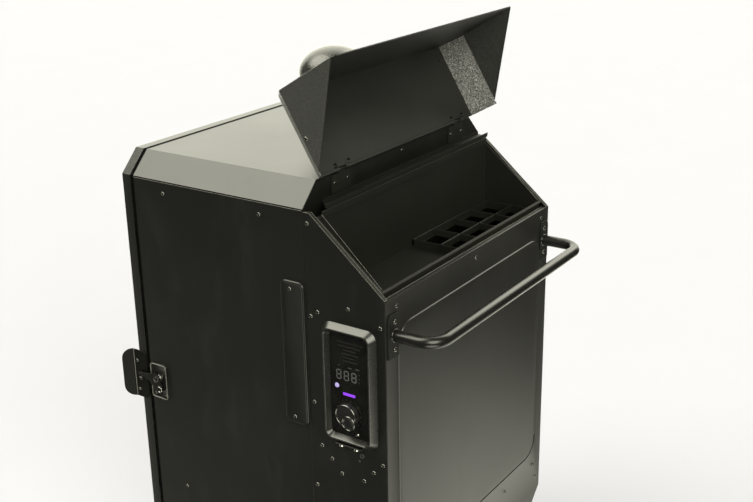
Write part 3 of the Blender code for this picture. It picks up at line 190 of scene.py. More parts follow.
def wrinkle_coat(name, col=(0.034, 0.035, 0.032), rough=0.42, strength=0.55, scale=430):
    """Wrinkle-finish powder coat, a fine closed pattern of ridges."""
    m, nt, b = new_mat(name)
    v = coords(nt)
    w = noise_tex(nt, v, 60, 2, 0.5)
    wv = N(nt, "ShaderNodeVectorMath", operation="MULTIPLY_ADD")
    nt.links.new(w.outputs["Color"], wv.inputs[0])
    wv.inputs[1].default_value = (0.0035, 0.0035, 0.0035)
    nt.links.new(v, wv.inputs[2])
    a = noise_tex(nt, wv.outputs[0], scale, 3, 0.6, 0.6)
    c = noise_tex(nt, wv.outputs[0], scale * 2.1, 2, 0.5)
    ridge = math_n(nt, "ABSOLUTE", math_n(nt, "SUBTRACT", a.outputs["Fac"], 0.5))
    h = math_n(nt, "ADD", math_n(nt, "MULTIPLY", ridge, -3.2), math_n(nt, "MULTIPLY", c.outputs["Fac"], 0.35))
    # ridge crests painted lighter and the troughs between them darker: painted highlight and painted shade that follow
    # the bump
    col_n = mix(nt, ramp(nt, ridge, [(0.0, g(1)), (0.16, g(0))]), tuple(x * 0.70 for x in col),
                tuple(x * 1.75 for x in col))
    cloud = noise_tex(nt, v, 6, 4, 0.5)
    col_n = mix(nt, math_n(nt, "MULTIPLY", ramp(nt, cloud.outputs["Fac"], [(0.35, g(0)), (0.75, g(1))]), 0.25), col_n,
                tuple(x * 1.5 for x in col))
    nt.links.new(col_n, b.inputs["Base Color"])
    nt.links.new(math_n(nt, "ADD", math_n(nt, "MULTIPLY", ridge, 1.7), rough - 0.10), b.inputs["Roughness"])
    b.inputs["Specular IOR Level"].default_value = 0.85
    nt.links.new(bump(nt, h, strength, 0.0011), b.inputs["Normal"])
    return m


def metal(name, col=(0.52, 0.52, 0.50), rough=0.30, stretch=(1, 1, 1), scale=260, amount=0.18, stain=0.0,
          bump_s=0.10):
    """Sheet or turned metal with drawn lines and slight staining."""
    m, nt, b = new_mat(name)
    v = coords(nt, stretch)
    lines = noise_tex(nt, v, scale, 5, 0.65)
    big = noise_tex(nt, coords(nt), 9, 5, 0.6, 0.4)
    c = mix(nt, ramp(nt, lines.outputs["Fac"], [(0.3, g(0)), (0.7, g(1))]), tuple(x * 0.84 for x in col),
            tuple(min(1, x * 1.12) for x in col))
    c = mix(nt, math_n(nt, "MULTIPLY", ramp(nt, big.outputs["Fac"], [(0.42, g(0)), (0.72, g(1))]), 0.25 + stain), c,
            tuple(x * (0.62 - 0.25 * stain) for x in col))
    nt.links.new(c, b.inputs["Base Color"])
    b.inputs["Metallic"].default_value = 1.0
    r = math_n(nt, "ADD", math_n(nt, "MULTIPLY", lines.outputs["Fac"], amount),
               math_n(nt, "ADD", math_n(nt, "MULTIPLY", big.outputs["Fac"], 0.16), rough - 0.5 * amount - 0.08))
    nt.links.new(r, b.inputs["Roughness"])
    nt.links.new(bump(nt, lines.outputs["Fac"], bump_s, 0.0003), b.inputs["Normal"])
    return m


def cast(name, col=(0.052, 0.047, 0.043)):
    m, nt, b = new_mat(name)
    v = coords(nt)
    a = noise_tex(nt, v, 380, 5, 0.65)
    big = noise_tex(nt, v, 22, 6, 0.65, 0.5)
    c = mix(nt, ramp(nt, big.outputs["Fac"], [(0.40, g(0)), (0.70, g(1))]), col, (0.11, 0.07, 0.045))
    c = mix(nt, ramp(nt, a.outputs["Fac"], [(0.35, g(0)), (0.75, g(0.6))]), c, (0.03, 0.03, 0.03))
    nt.links.new(c, b.inputs["Base Color"])
    b.inputs["Metallic"].default_value = 0.35
    nt.links.new(math_n(nt, "ADD", math_n(nt, "MULTIPLY", big.outputs["Fac"], 0.35), 0.42), b.inputs["Roughness"])
    nt.links.new(bump(nt, a.outputs["Fac"], 0.55, 0.0012), b.inputs["Normal"])
    return m


def hammered(name, col=(0.034, 0.034, 0.031)):
    """Hammered enamel: shallow dimples in a glossy grey-black film."""
    m, nt, b = new_mat(name)
    v = coords(nt)
    w = noise_tex(nt, v, 90, 2, 0.5)
    wv = N(nt, "ShaderNodeVectorMath", operation="MULTIPLY_ADD")
    nt.links.new(w.outputs["Color"], wv.inputs[0])
    wv.inputs[1].default_value = (0.004, 0.004, 0.004)
    nt.links.new(v, wv.inputs[2])
    vor = N(nt, "ShaderNodeTexVoronoi", feature="SMOOTH_F1")
    vor.inputs["Scale"].default_value = 260
    vor.inputs["Smoothness"].default_value = 0.6
    nt.links.new(wv.outputs[0], vor.inputs["Vector"])
    # dimple bottoms painted darker and their rims lighter: painted shade and painted highlight that follow the bump
    c = mix(nt, ramp(nt, vor.outputs["Distance"], [(0.10, g(0)), (0.60, g(1))]), tuple(x * 0.65 for x in col),
            tuple(x * 1.5 for x in col))
    nt.links.new(c, b.inputs["Base Color"])
    b.inputs["Metallic"].default_value = 0.25
    b.inputs["Roughness"].default_value = 0.20
    b.inputs["Specular IOR Level"].default_value = 0.8
    b.inputs["Coat Weight"].default_value = 0.35
    b.inputs["Coat Roughness"].default_value = 0.08
    nt.links.new(bump(nt, vor.outputs["Distance"], 0.38, 0.0010), b.inputs["Normal"])
    return m


def plastic(name, col=(0.018, 0.018, 0.017), rough=0.42, grain=0.25, scale=700, spec=0.5):
    """Moulded plastic with a fine spark-eroded grain."""
    m, nt, b = new_mat(name)
    v = coords(nt)
    a = noise_tex(nt, v, scale, 3, 0.6)
    big = noise_tex(nt, v, 18, 4, 0.55)
    c = mix(nt, ramp(nt, big.outputs["Fac"], [(0.35, g(0)), (0.7, g(1))]), tuple(x * 0.86 for x in col),
            tuple(x * 1.2 for x in col))
    nt.links.new(c, b.inputs["Base Color"])
    nt.links.new(math_n(nt, "ADD", math_n(nt, "MULTIPLY", a.outputs["Fac"], 0.12), rough - 0.05), b.inputs["Roughness"])
    b.inputs["Specular IOR Level"].default_value = spec
    nt.links.new(bump(nt, a.outputs["Fac"], grain, 0.0004), b.inputs["Normal"])
    return m


def rubber(name, col=(0.016, 0.016, 0.016)):
    m, nt, b = new_mat(name)
    v = coords(nt)
    a = noise_tex(nt, v, 240, 4, 0.6)
    big = noise_tex(nt, v, 14, 5, 0.6)
    c = mix(nt, ramp(nt, big.outputs["Fac"], [(0.45, g(0)), (0.75, g(1))]), col, (0.045, 0.043, 0.040))
    nt.links.new(c, b.inputs["Base Color"])
    nt.links.new(math_n(nt, "ADD", math_n(nt, "MULTIPLY", a.outputs["Fac"], 0.2), 0.58), b.inputs["Roughness"])
    nt.links.new(bump(nt, a.outputs["Fac"], 0.30, 0.0008), b.inputs["Normal"])
    return m


def rope(name):
    """Braided glass-fibre door seal."""
    m, nt, b = new_mat(name)
    v = coords(nt)
    w1 = N(nt, "ShaderNodeTexWave", wave_type="BANDS", bands_direction="DIAGONAL")
    w1.inputs["Scale"].default_value = 190
    w1.inputs["Distortion"].default_value = 2.5
    w1.inputs["Detail"].default_value = 2
    nt.links.new(v, w1.inputs["Vector"])
    a = noise_tex(nt, v, 1300, 3, 0.6)
    # raised strands painted lighter and the grooves between them darker: painted highlight and painted shade that
    # follow the braid bump
    c = mix(nt, w1.outputs["Fac"], (0.010, 0.010, 0.010), (0.034, 0.034, 0.033))
    c = mix(nt, ramp(nt, a.outputs["Fac"], [(0.5, g(0)), (0.8, g(0.6))]), c, (0.07, 0.07, 0.066))
    nt.links.new(c, b.inputs["Base Color"])
    b.inputs["Roughness"].default_value = 0.95
    b.inputs["Sheen Weight"].default_value = 0.25
    n1 = bump(nt, w1.outputs["Fac"], 0.8, 0.0012)
    nt.links.new(bump(nt, a.outputs["Fac"], 0.4, 0.0004, n1), b.inputs["Normal"])
    return m


def glow(name, col, strength, base=(0.02, 0.02, 0.02), rough=0.3):
    m, nt, b = new_mat(name)
    v = coords(nt)
    a = noise_tex(nt, v, 450, 3, 0.6)
    c = mix(nt, a.outputs["Fac"], tuple(x * 0.75 for x in col), tuple(min(1.0, x * 1.2) for x in col))
    b.inputs["Base Color"].default_value = base + (1,)
    nt.links.new(c, b.inputs["Emission Color"])
    b.inputs["Emission Strength"].default_value = strength
    b.inputs["Roughness"].default_value = rough
    return m


def smoked(name):
    """Smoked acrylic control window, faint smears."""
    m, nt, b = new_mat(name)
    v = coords(nt)
    a = noise_tex(nt, v, 26, 6, 0.65, 0.8)
    c = mix(nt, ramp(nt, a.outputs["Fac"], [(0.45, g(0)), (0.8, g(1))]), (0.0055, 0.0055, 0.0050), (0.014, 0.014, 0.013))
    nt.links.new(c, b.inputs["Base Color"])
    nt.links.new(ramp(nt, a.outputs["Fac"], [(0.35, g(0.05)), (0.8, g(0.22))]), b.inputs["Roughness"])
    b.inputs["Specular IOR Level"].default_value = 0.45
    return m


M = {
    "body": powder_coat("body_powder_coat"),
    "rear": powder_coat("rear_panel_powder_coat", col=(0.0140, 0.0140, 0.0122), rough=0.36, spec=0.9),
    # slightly lighter coat for the beads on the guard bar tops: painted highlight along the bar edges
    "line": powder_coat("guard_edge_highlight_coat", col=(0.0200, 0.0205, 0.0180), rough=0.45, spec=0.4, dust=0.2),
    # near-black matte coat for thin strips, plates and walls set into gaps, slots and recesses: painted shade
    "void": powder_coat("seam_painted_shade_black", col=(0.0016, 0.0016, 0.0014), rough=0.80, spec=0.05, dust=0.0),
    "pull": powder_coat("pull_black_coat", col=(0.0045, 0.0046, 0.0040), rough=0.36, spec=0.25, dust=0.3),
    "bin": powder_coat("bin_powder_coat", col=(0.0150, 0.0155, 0.0128), rough=0.55, spec=0.22, dust=0.3),
    # light grey coat for thin beads along folds and rims: painted highlight standing in for the edges catching the
    # light
    "edge": powder_coat("painted_highlight_edge_coat", col=(0.135, 0.135, 0.118), rough=0.30, spec=0.9, grain=0.4),
    "lid_in": powder_coat("lid_inner_coat", col=(0.0215, 0.0228, 0.0195), rough=0.46, spec=0.55, grain=0.8),
    "wrinkle": wrinkle_coat("corner_wrinkle_coat", col=(0.016, 0.0165, 0.0145), rough=0.55, strength=0.75, scale=260),
    "lid": wrinkle_coat("lid_wrinkle_coat", col=(0.030, 0.031, 0.028), rough=0.28, strength=0.62, scale=230),
    "tube": powder_coat("tube_satin_coat", col=(0.0095, 0.0095, 0.0085), rough=0.27, spec=0.66, grain=0.3, dust=0.4),
    "latch": powder_coat("latch_gloss_coat", col=(0.0095, 0.0095, 0.0090), rough=0.20, spec=0.8, grain=0.25, dust=0.3),
    "liner": metal("liner_rolled_steel", col=(0.42, 0.42, 0.405), stretch=(1, 1, 0.06), stain=0.25),
    "zinc": metal("zinc_plate", col=(0.50, 0.50, 0.51), rough=0.34, scale=160, stain=0.1),
    "dark_zinc": metal("dark_zinc_screw", col=(0.26, 0.26, 0.245), rough=0.22, scale=500, amount=0.1),
    "bright": metal("bright_nickel", col=(0.66, 0.66, 0.63), rough=0.13, scale=600, amount=0.08, bump_s=0.03),
    "chrome": metal("rack_chrome", col=(0.68, 0.68, 0.67), rough=0.14, scale=300, amount=0.10, stain=0.15, bump_s=0.04),
    "cast": cast("cast_iron_raw"),
    "hammer": hammered("hammered_enamel"),
    "enamel": plastic("pan_enamel", col=(0.010, 0.0105, 0.013), rough=0.16, grain=0.10, scale=160, spec=0.7),
    "bezel": plastic("bezel_plastic", col=(0.0135, 0.0140, 0.0120), rough=0.27, grain=0.18, spec=1.0),
    "plastic": plastic("black_plastic"),
    "knob": plastic("knob_plastic", col=(0.012, 0.012, 0.012), rough=0.24, grain=0.10, spec=0.7),
    "glass": smoked("smoked_window"),
    "rubber": rubber("tyre_rubber"),
    "rope": rope("seal_rope"),
    "ceramic": plastic("igniter_ceramic", col=(0.50, 0.46, 0.40), rough=0.6, grain=0.5, scale=300),
    "violet": glow("violet_status_light", (0.28, 0.055, 0.86), 1.15, (0.05, 0.01, 0.12)),
    "btn": glow("button_backlight", (0.27, 0.215, 0.50), 0.62, (0.35, 0.30, 0.55), 0.25),
    "seg": glow("display_segment_grey", (0.085, 0.085, 0.080), 0.55, (0.05, 0.05, 0.048), 0.4),
    "seg3": glow("display_legend_grey", (0.010, 0.010, 0.0095), 0.15, (0.013, 0.013, 0.012), 0.4),
    "seg2": glow("display_print_grey", (0.030, 0.031, 0.029), 0.5, (0.03, 0.03, 0.03), 0.4),
}

CAD_MATS = {
    "body": ["side_panel_left", "side_panel_right", "top_panel", "bottom_panel", "back_wall", "front_frame",
             "hopper_side_left", "hopper_side_right", "base_frame"],
    "bin": ["hopper_bin", "rain_gutter", "lid_hinge_left", "lid_hinge_right"],
    "liner": ["inner_liner", "door_inner_liner"],
    "cast": ["heat_baffle", "fire_pot"],
    "ceramic": ["igniter"],
    "zinc": ["auger_tube", "auger_motor", "auger_screw", "grease_drawer", "axle"],
    "plastic": ["fan_housing", "fan_impeller", "controller_housing", "power_inlet"],
    "bright": ["temperature_probe"],
    "enamel": ["water_pan"],
    "latch": ["door_hinge_upper_fixed", "door_hinge_upper_moving", "door_hinge_lower_fixed", "door_hinge_lower_moving",
              ],
}
for key, names in CAD_MATS.items():
    for n in names:
        o = NODES[n]
        o.data.materials.clear()
        o.data.materials.append(M[key])


def soften(o, width=0.0006, seg=2, angle=28, weld=True):
    """Rounds the edges of a CAD node without touching its own mesh."""
    if weld:
        w = o.modifiers.new("weld", "WELD")
        w.merge_threshold = 0.00002
    b = o.modifiers.new("edge", "BEVEL")
    b.width = width
    b.segments = seg
    b.limit_method = "ANGLE"
    b.angle_limit = math.radians(angle)
    b.harden_normals = False
    b.miter_outer = "MITER_ARC"
    for p in o.data.polygons:
        p.use_smooth = True
    n = o.modifiers.new("normals", "WEIGHTED_NORMAL")
    n.keep_sharp = False
    n.weight = 80


for n, w in (("side_panel_left", 0.0005), ("side_panel_right", 0.0005), ("top_panel", 0.0005), ("bottom_panel", 0.0005),
             ("back_wall", 0.0004), ("front_frame", 0.0003), ("hopper_side_left", 0.0005), ("hopper_side_right", 0.0005),
             ("rain_gutter", 0.0003), ("base_frame", 0.0010), ("hopper_bin", 0.0005), ("inner_liner", 0.0003),
             ("door_inner_liner", 0.0003), ("heat_baffle", 0.0005), ("grease_drawer", 0.0003), ("water_pan", 0.0003),
             ("auger_motor", 0.0008), ("controller_housing", 0.0008), ("power_inlet", 0.0006), ("fan_housing", 0.0005)):
    soften(NODES[n], w)


# ====================================================================== mesh tools
def rrect(u0, u1, v0, v1, r, n=8):
    out = []
    for cu, cv, a0 in ((u1 - r, v0 + r, -90), (u1 - r, v1 - r, 0), (u0 + r, v1 - r, 90), (u0 + r, v0 + r, 180)):
        for i in range(n + 1):
            a = math.radians(a0 + 90.0 * i / n)
            out.append((cu + r * math.cos(a), cv + r * math.sin(a)))
    return out


def circle(u, v, r, n=32):
    return [(u + r * math.cos(2 * math.pi * i / n), v + r * math.sin(2 * math.pi * i / n)) for i in range(n)]


def P3(axis, a, u, v):
    return (a, u, v) if axis == "X" else (u, a, v) if axis == "Y" else (u, v, a)


def to_obj(name, bm, mats, smooth=30, recalc=True):
    if recalc:
        bmesh.ops.recalc_face_normals(bm, faces=bm.faces)
        if bm.calc_volume(signed=True) < 0:
            bmesh.ops.reverse_faces(bm, faces=bm.faces)
    me = bpy.data.meshes.new(name)
    bm.to_mesh(me)
    bm.free()
    o = bpy.data.objects.new(name, me)
    bpy.context.scene.collection.objects.link(o)
    for m in (mats if isinstance(mats, (list, tuple)) else [mats]):
        me.materials.append(M[m] if isinstance(m, str) else m)
    if smooth is not None:
        me.shade_smooth()
        me.set_sharp_from_angle(angle=math.radians(smooth))
    return o


def b_prism(loops, axis, a0, a1, bm=None):
    bm = bm or bmesh.new()
    pts = [[Vector((u, v, 0)) for u, v in lp] for lp in loops]
    tris = tessellate_polygon(pts)
    flat = [(u, v) for lp in loops for u, v in lp]
    lo = [bm.verts.new(P3(axis, a0, u, v)) for u, v in flat]
    hi = [bm.verts.new(P3(axis, a1, u, v)) for u, v in flat]
    if len(loops) == 1:
        bm.faces.new(lo)
        bm.faces.new(hi[::-1])
    else:
        for a, b, c in tris:
            bm.faces.new((lo[a], lo[b], lo[c]))
            bm.faces.new((hi[c], hi[b], hi[a]))
    k = 0
    for lp in loops:
        n = len(lp)
        for i in range(n):
            j = (i + 1) % n
            bm.faces.new((lo[k + i], lo[k + j], hi[k + j], hi[k + i]))
        k += n
    return bm


def b_loft(loops, closed=False, bm=None, caps=True):
    bm = bm or bmesh.new()
    rings = [[bm.verts.new(p) for p in lp] for lp in loops]
    n, m = len(loops[0]), len(rings)
    for r in range(m if closed else m - 1):
        a, b = rings[r], rings[(r + 1) % m]
        for i in range(n):
            j = (i + 1) % n
            bm.faces.new((a[i], a[j], b[j], b[i]))
    if not closed and caps:
        bm.faces.new(rings[0])
        bm.faces.new(rings[-1])
    return bm


def b_lathe(prof, axis, c, seg=48, ring=False, bm=None):
    bm = bm or bmesh.new()

    def at(r, a, h):
        p, q = r * math.cos(a), r * math.sin(a)
        if axis == "X":
            return (c[0] + h, c[1] + p, c[2] + q)
        if axis == "Y":
            return (c[0] + p, c[1] + h, c[2] + q)
        return (c[0] + p, c[1] + q, c[2] + h)
    rows = [[bm.verts.new(at(0, 0, h))] if r < 1e-9 else
            [bm.verts.new(at(r, 2 * math.pi * i / seg, h)) for i in range(seg)] for r, h in prof]
    m = len(rows)
    for k in range(m if ring else m - 1):
        a, b = rows[k], rows[(k + 1) % m]
        for i in range(seg):
            j = (i + 1) % seg
            if len(a) == 1 and len(b) == 1:
                continue
            if len(a) == 1:
                bm.faces.new((a[0], b[j], b[i]))
            elif len(b) == 1:
                bm.faces.new((a[i], a[j], b[0]))
            else:
                bm.faces.new((a[i], a[j], b[j], b[i]))
    return bm


def b_sweep(path, r, seg=24, bm=None, cap=True):
    bm = bm or bmesh.new()
    pts = [Vector(p) for p in path]
    n = len(pts)
    rings = []
    t0 = (pts[1] - pts[0]).normalized()
    ref = Vector((0, 0, 1)) if abs(t0.z) < 0.9 else Vector((1, 0, 0))
    s = t0.cross(ref).normalized()
    for i, p in enumerate(pts):
        t = (pts[min(i + 1, n - 1)] - pts[max(i - 1, 0)]).normalized()
        s = (s - t * s.dot(t)).normalized()
        u = s.cross(t)
        rr = r[i] if isinstance(r, (list, tuple)) else r
        rings.append([bm.verts.new(p + rr * (math.cos(2 * math.pi * k / seg) * s + math.sin(2 * math.pi * k / seg) * u))
                      for k in range(seg)])
    for i in range(n - 1):
        for k in range(seg):
            j = (k + 1) % seg
            bm.faces.new((rings[i][k], rings[i][j], rings[i + 1][j], rings[i + 1][k]))
    if cap:
        bm.faces.new(rings[0])
        bm.faces.new(rings[-1])
    return bm


def add_bevel(o, width, seg=3, angle=30, clamp=True):
    b = o.modifiers.new("edge", "BEVEL")
    b.width = width
    b.segments = seg
    b.limit_method = "ANGLE"
    b.angle_limit = math.radians(angle)
    b.use_clamp_overlap = clamp
    b.miter_outer = "MITER_ARC"
    for p in o.data.polygons:
        p.use_smooth = True
    a = o.data.attributes.get("sharp_edge")
    if a:
        o.data.attributes.remove(a)
    n = o.modifiers.new("normals", "WEIGHTED_NORMAL")
    n.keep_sharp = False
    n.weight = 80
    return o


def put(o, body, *nodes, slot=None):
    """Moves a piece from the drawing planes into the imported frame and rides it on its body."""
    o.data.transform(o.matrix_world)
    o.matrix_world = Matrix.Identity(4)
    o.data.transform(SHIFT)
    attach(o, body)
    if nodes:
        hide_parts(*nodes)
    return o


def apply_mods(o):
    dg = bpy.context.evaluated_depsgraph_get()
    me = bpy.data.meshes.new_from_object(o.evaluated_get(dg))
    o.modifiers.clear()
    o.data = me
    return o


def boolean(a, b, op="DIFFERENCE"):
    m = a.modifiers.new("b", "BOOLEAN")
    m.operation = op
    m.object = b
    m.solver = "EXACT"
    apply_mods(a)
    bpy.data.objects.remove(b, do_unlink=True)
    return a


# ====================================================================== fasteners
def screw_template(r=0.0043, h=0.0021, style="pan", seg=20):
    """A screw head on the XY plane, pointing +Z, with a cross or hexagon recess."""
    prof = [(0.0, 0.0)]
    if style == "pan":
        prof = [(0, -0.0002), (r, -0.0002), (r, h * 0.25)]
        for i in range(1, 6):
            a = math.pi / 2 * i / 5
            prof.append((r * (0.42 + 0.58 * math.cos(a)), h * (0.25 + 0.75 * math.sin(a))))
        prof.append((0, h))
    else:
        prof = [(0, -0.0002), (r, -0.0002), (r, h * 0.82), (r * 0.90, h), (0, h)]
    bm = b_lathe(prof, "Z", (0, 0, 0), 6 if style == "hex" else seg)
    o = to_obj("tmp_screw", bm, "dark_zinc", 30)
    if style == "hex":
        return o
    k = r * 0.62
    w = r * 0.13
    for ang in (0.4, 0.4 + math.pi / 2):
        bc = b_prism([[(-k, -w), (k, -w), (k, w), (-k, w)]], "Z", h * 0.35, h * 1.5)
        c = to_obj("tmp_cut", bc, "dark_zinc", None)
        c.data.transform(Matrix.Rotation(ang, 4, "Z"))
        boolean(o, c)
    return o


_T = {}


def screw_mesh(style, r):
    key = (style, round(r, 5))
    if key not in _T:
        o = screw_template(r, r * (0.50 if style == "pan" else 0.70), style)
        _T[key] = o.data.copy()
        bpy.data.objects.remove(o, do_unlink=True)
    return _T[key]


def screws(name, body, spots, normal, style="pan", r=0.0043, mat="dark_zinc", washer=False):
    """One piece holding a group of identical screw heads; each is turned a little differently."""
    bm = bmesh.new()
    n = Vector(normal).normalized()
    q = n.to_track_quat("Z", "Y").to_matrix().to_4x4()
    rnd = random.Random(len(name) * 131 + len(spots))
    for p in spots:
        me = screw_mesh(style, r).copy()
        me.transform(Matrix.Rotation(rnd.uniform(0, 6.28), 4, "Z"))
        lift = 0.0
        if washer:
            lift = 0.0008
        me.transform(Matrix.Translation((0, 0, lift)))
        me.transform(q)
        me.transform(Matrix.Translation(p))
        bm.from_mesh(me)
        if washer:
            w = b_lathe([(r * 0.6, 0.0), (r * 1.45, 0.0), (r * 1.45, 0.0006), (r * 1.35, 0.0008), (r * 0.6, 0.0008)],
                        "Z", (0, 0, 0), 24, ring=True)
            m2 = bpy.data.meshes.new("w")
            bmesh.ops.recalc_face_normals(w, faces=w.faces)
            w.to_mesh(m2)
            w.free()
            m2.transform(q)
            m2.transform(Matrix.Translation(p))
            bm.from_mesh(m2)
    o = to_obj(name, bm, mat, 35, recalc=False)
    return put(o, body)


X1 = HW                     # outer face of the right side
side = [(-331, -67), (-98, -68), (9.5, -66.5), (10.2, -240), (25.5, -229), (92, -209), (158.5, -230), (10.8, -410),
        (25.2, -496), (47, -517.5), (68.6, -542), (10.5, -584), (118, -542), (139.4, -518), (159.7, -497)]
low = [(-331, -700), (-98, -800), (-331, -800), (10.5, -700), (10.5, -790), (158.0, -700), (158.0, -790)]
cab_r = [p for p in side + low if p[0] < 0]
hop_r = [p for p in side + low if p[0] > 0]
screws("side_screws_right_cabinet", "cabinet", [(X1, y / 1000, zt(z / 1000)) for y, z in cab_r], (1, 0, 0), r=0.0038)
screws("side_screws_right_hopper", "cabinet", [(X1, y / 1000, zt(z / 1000)) for y, z in hop_r], (1, 0, 0), r=0.0042)
screws("side_screws_left", "cabinet",
       [(-X1, y / 1000, zt(z / 1000)) for y, z in cab_r + hop_r if not (40 < y < 160 and z < -230)], (-1, 0, 0), r=0.0040)
screws("rear_screws", "cabinet",
       [(x, HOP_D, zt(z)) for x, z in ((0.276, -0.197), (-0.0007, -0.197), (-0.276, -0.197), (-0.277, -0.786),
                                       (-0.144, -0.787), (0.144, -0.787), (0.277, -0.786), (-0.290, -0.822),
                                       (0.290, -0.822))], (0, 1, 0), r=0.0038)
screws("lid_hinge_screws", "cabinet",
       [(x, 0.0015, zt(z)) for x, z in ((0.2145, -0.0197), (0.1745, -0.0190), (-0.190, -0.0200), (-0.2314, -0.0215))] +
       [(-0.008, 0.0, zt(-0.011))], (0, 1, 0), r=0.0034)
screws("gutter_screws", "cabinet", [(0.2100, 0.0130, zt(-0.0455)), (-0.2400, 0.0130, zt(-0.0455))], (0, 0, 1), r=0.0026)

# ====================================================================== hopper lid
LID_ANGLE = math.radians(121.0)
PY, PZ = 0.003, zt(0.003)


def lid_pt(x, v, w, th=LID_ANGLE):
    return (x, PY + v * math.cos(th) + w * math.sin(th), PZ + v * math.sin(th) - w * math.cos(th))


def lid_place(o):
    """From lid coordinates (x, v, -w) to the drawing planes, lid open."""
    th = LID_ANGLE
    m = Matrix(((1, 0, 0, 0), (0, math.cos(th), -math.sin(th), PY), (0, math.sin(th), math.cos(th), PZ), (0, 0, 0, 1)))
    o.data.transform(m)
    return o


RIM_Y0, RIM_Z0, RIM_Z1 = 0.013, -0.047, -0.180
SLOPE = (RIM_Z1 - RIM_Z0) / (HOP_D - RIM_Y0)
wp_, wc_ = 0.003, 0.003 + CH
v0_, vs_, vd_ = -0.0020, -0.0020, 0.158
LID_W = 0.178


def wl(v):
    return 0.003 - (RIM_Z0 + SLOPE * (v + 0.003 - RIM_Y0)) - 0.0016


bm = bmesh.new()
V = {}
xi = HW - CH
NV = 14
xs_ = [-xi + 2 * xi * i / NV for i in range(NV + 1)]
rows = []
for s, t_ in ((1, "R"), (-1, "L")):
    for k, (x, v, w) in {"a": (xi, v0_, wp_), "b": (xi, vd_, wp_), "c": (HW, vs_, wc_), "d": (HW, vd_, wc_),
                         "e": (HW, vd_, wl(vd_)), "k": (HW, 0.0066, wc_)}.items():
        V[k + t_] = bm.verts.new((s * x, v, -w))
    V["g" + t_] = bm.verts.new((s * (HW - 0.0105), vd_, -wl(vd_)))
    V["f" + t_] = bm.verts.new((s * (HW - 0.0105), vd_, -LID_W))
bm.faces.new((V["aR"], V["bR"], V["bL"], V["aL"]))
bm.faces.new((V["aR"], V["cR"], V["kR"], V["dR"], V["bR"]))
bm.faces.new((V["aL"], V["bL"], V["dL"], V["kL"], V["cL"]))
bm.faces.new((V["kR"], V["eR"], V["dR"]))
bm.faces.new((V["kL"], V["dL"], V["eL"]))
bm.faces.new((V["bR"], V["dR"], V["eR"], V["gR"], V["fR"], V["fL"], V["gL"], V["eL"], V["dL"], V["bL"]))
bmesh.ops.recalc_face_normals(bm, faces=bm.faces)
me = bpy.data.meshes.new("lid_sheet")
bm.to_mesh(me)
bm.free()
lid = bpy.data.objects.new("lid_sheet", me)
bpy.context.scene.collection.objects.link(lid)
if me.polygons[0].normal.z < 0:
    me.flip_normals()
b = lid.modifiers.new("bend", "BEVEL")
b.width, b.segments, b.limit_method, b.angle_limit = 0.0016, 4, "ANGLE", math.radians(20)
s_ = lid.modifiers.new("sheet", "SOLIDIFY")
s_.thickness, s_.offset, s_.use_even_offset = T, -1, True
apply_mods(lid)
me = lid.data
me.materials.append(M["lid"])
me.materials.append(M["lid_in"])
# the pressed slots by the hinges
for hx in (-0.2108, 0.1945):
    c = to_obj("tmp_cut", b_prism([[(hx - 0.0101, -0.010), (hx + 0.0101, -0.010), (hx + 0.0101, 0.0040),
                                    (hx - 0.0101, 0.0040)]], "Z", -0.012, 0.004), "lid", None)
    boolean(lid, c)
for xh in (0.2115, 0.1700, -0.1930, -0.2350):
    c = to_obj("tmp_cut", b_prism([rrect(xh - 0.0045, xh + 0.0045, 0.0085, 0.0125, 0.0015, 4)], "Z", -0.012, 0.004), "lid",
               None)
    boolean(lid, c)
for p in lid.data.polygons:
    p.use_smooth = True
    # inner side of the main panel and of the front flange: smoother coat
    p.material_index = 0
    if p.normal.z < -0.9 and p.center.z > -0.006:
        p.material_index = 1
    if p.normal.y < -0.9 and p.center.y > 0.15:
        p.material_index = 1
add_bevel(lid, 0.00035, 2, 40)
lid.name = "hopper_lid_sheet"
lid_place(lid)
put(lid, "lid", "hopper_lid")

# folded hems along the lid's free edges
hem = bmesh.new()
for s in (1, -1):
    b_sweep([(s * (HW - 0.0014), 0.0090, -wc_ - 0.0010), (s * (HW - 0.0014), vd_ - 0.0015, -wl(vd_) + 0.0014)],
            0.0010, 10, hem)
b_sweep([(-HW + 0.012, vd_ - 0.0014, -LID_W + 0.0010), (HW - 0.012, vd_ - 0.0014, -LID_W + 0.0010)], 0.0011, 12, hem)
for a, b_ in ((-0.2660, -0.2240), (-0.1990, 0.1810), (0.2080, 0.2660)):       # hem along the hinge edge
    b_prism([[(v0_ + 0.0002, -wp_ - T), (v0_ + 0.0002, -wp_ - T - 0.0011), (v0_ + 0.0046, -wp_ - T - 0.0011),
              (v0_ + 0.0052, -wp_ - T - 0.0004), (v0_ + 0.0052, -wp_ - T)]], "X", a, b_, hem)
# near-black plates just under the lid's slots and hinge notches: painted shade seen through the openings
bk = bmesh.new()
for xh in (0.2115, 0.1700, -0.1930, -0.2350):
    b_prism([rrect(xh - 0.0065, xh + 0.0065, 0.0065, 0.0145, 0.0015, 4)], "Z", -wp_ + 0.0001, -wp_ + 0.0005, bk)
for hx in (-0.2108, 0.1945):
    b_prism([[(hx - 0.0125, 0.0016), (hx + 0.0125, 0.0016), (hx + 0.0125, 0.0078), (hx - 0.0125, 0.0078)]], "Z",
            -wp_ + 0.0001, -wp_ + 0.0005, bk)
bk_o = to_obj("lid_slot_shade_backing", bk, "void", 40)
lid_place(bk_o)
put(bk_o, "lid")
hem_o = to_obj("lid_edge_hems", hem, "lid_in", 40)
lid_place(hem_o)
put(hem_o, "lid")
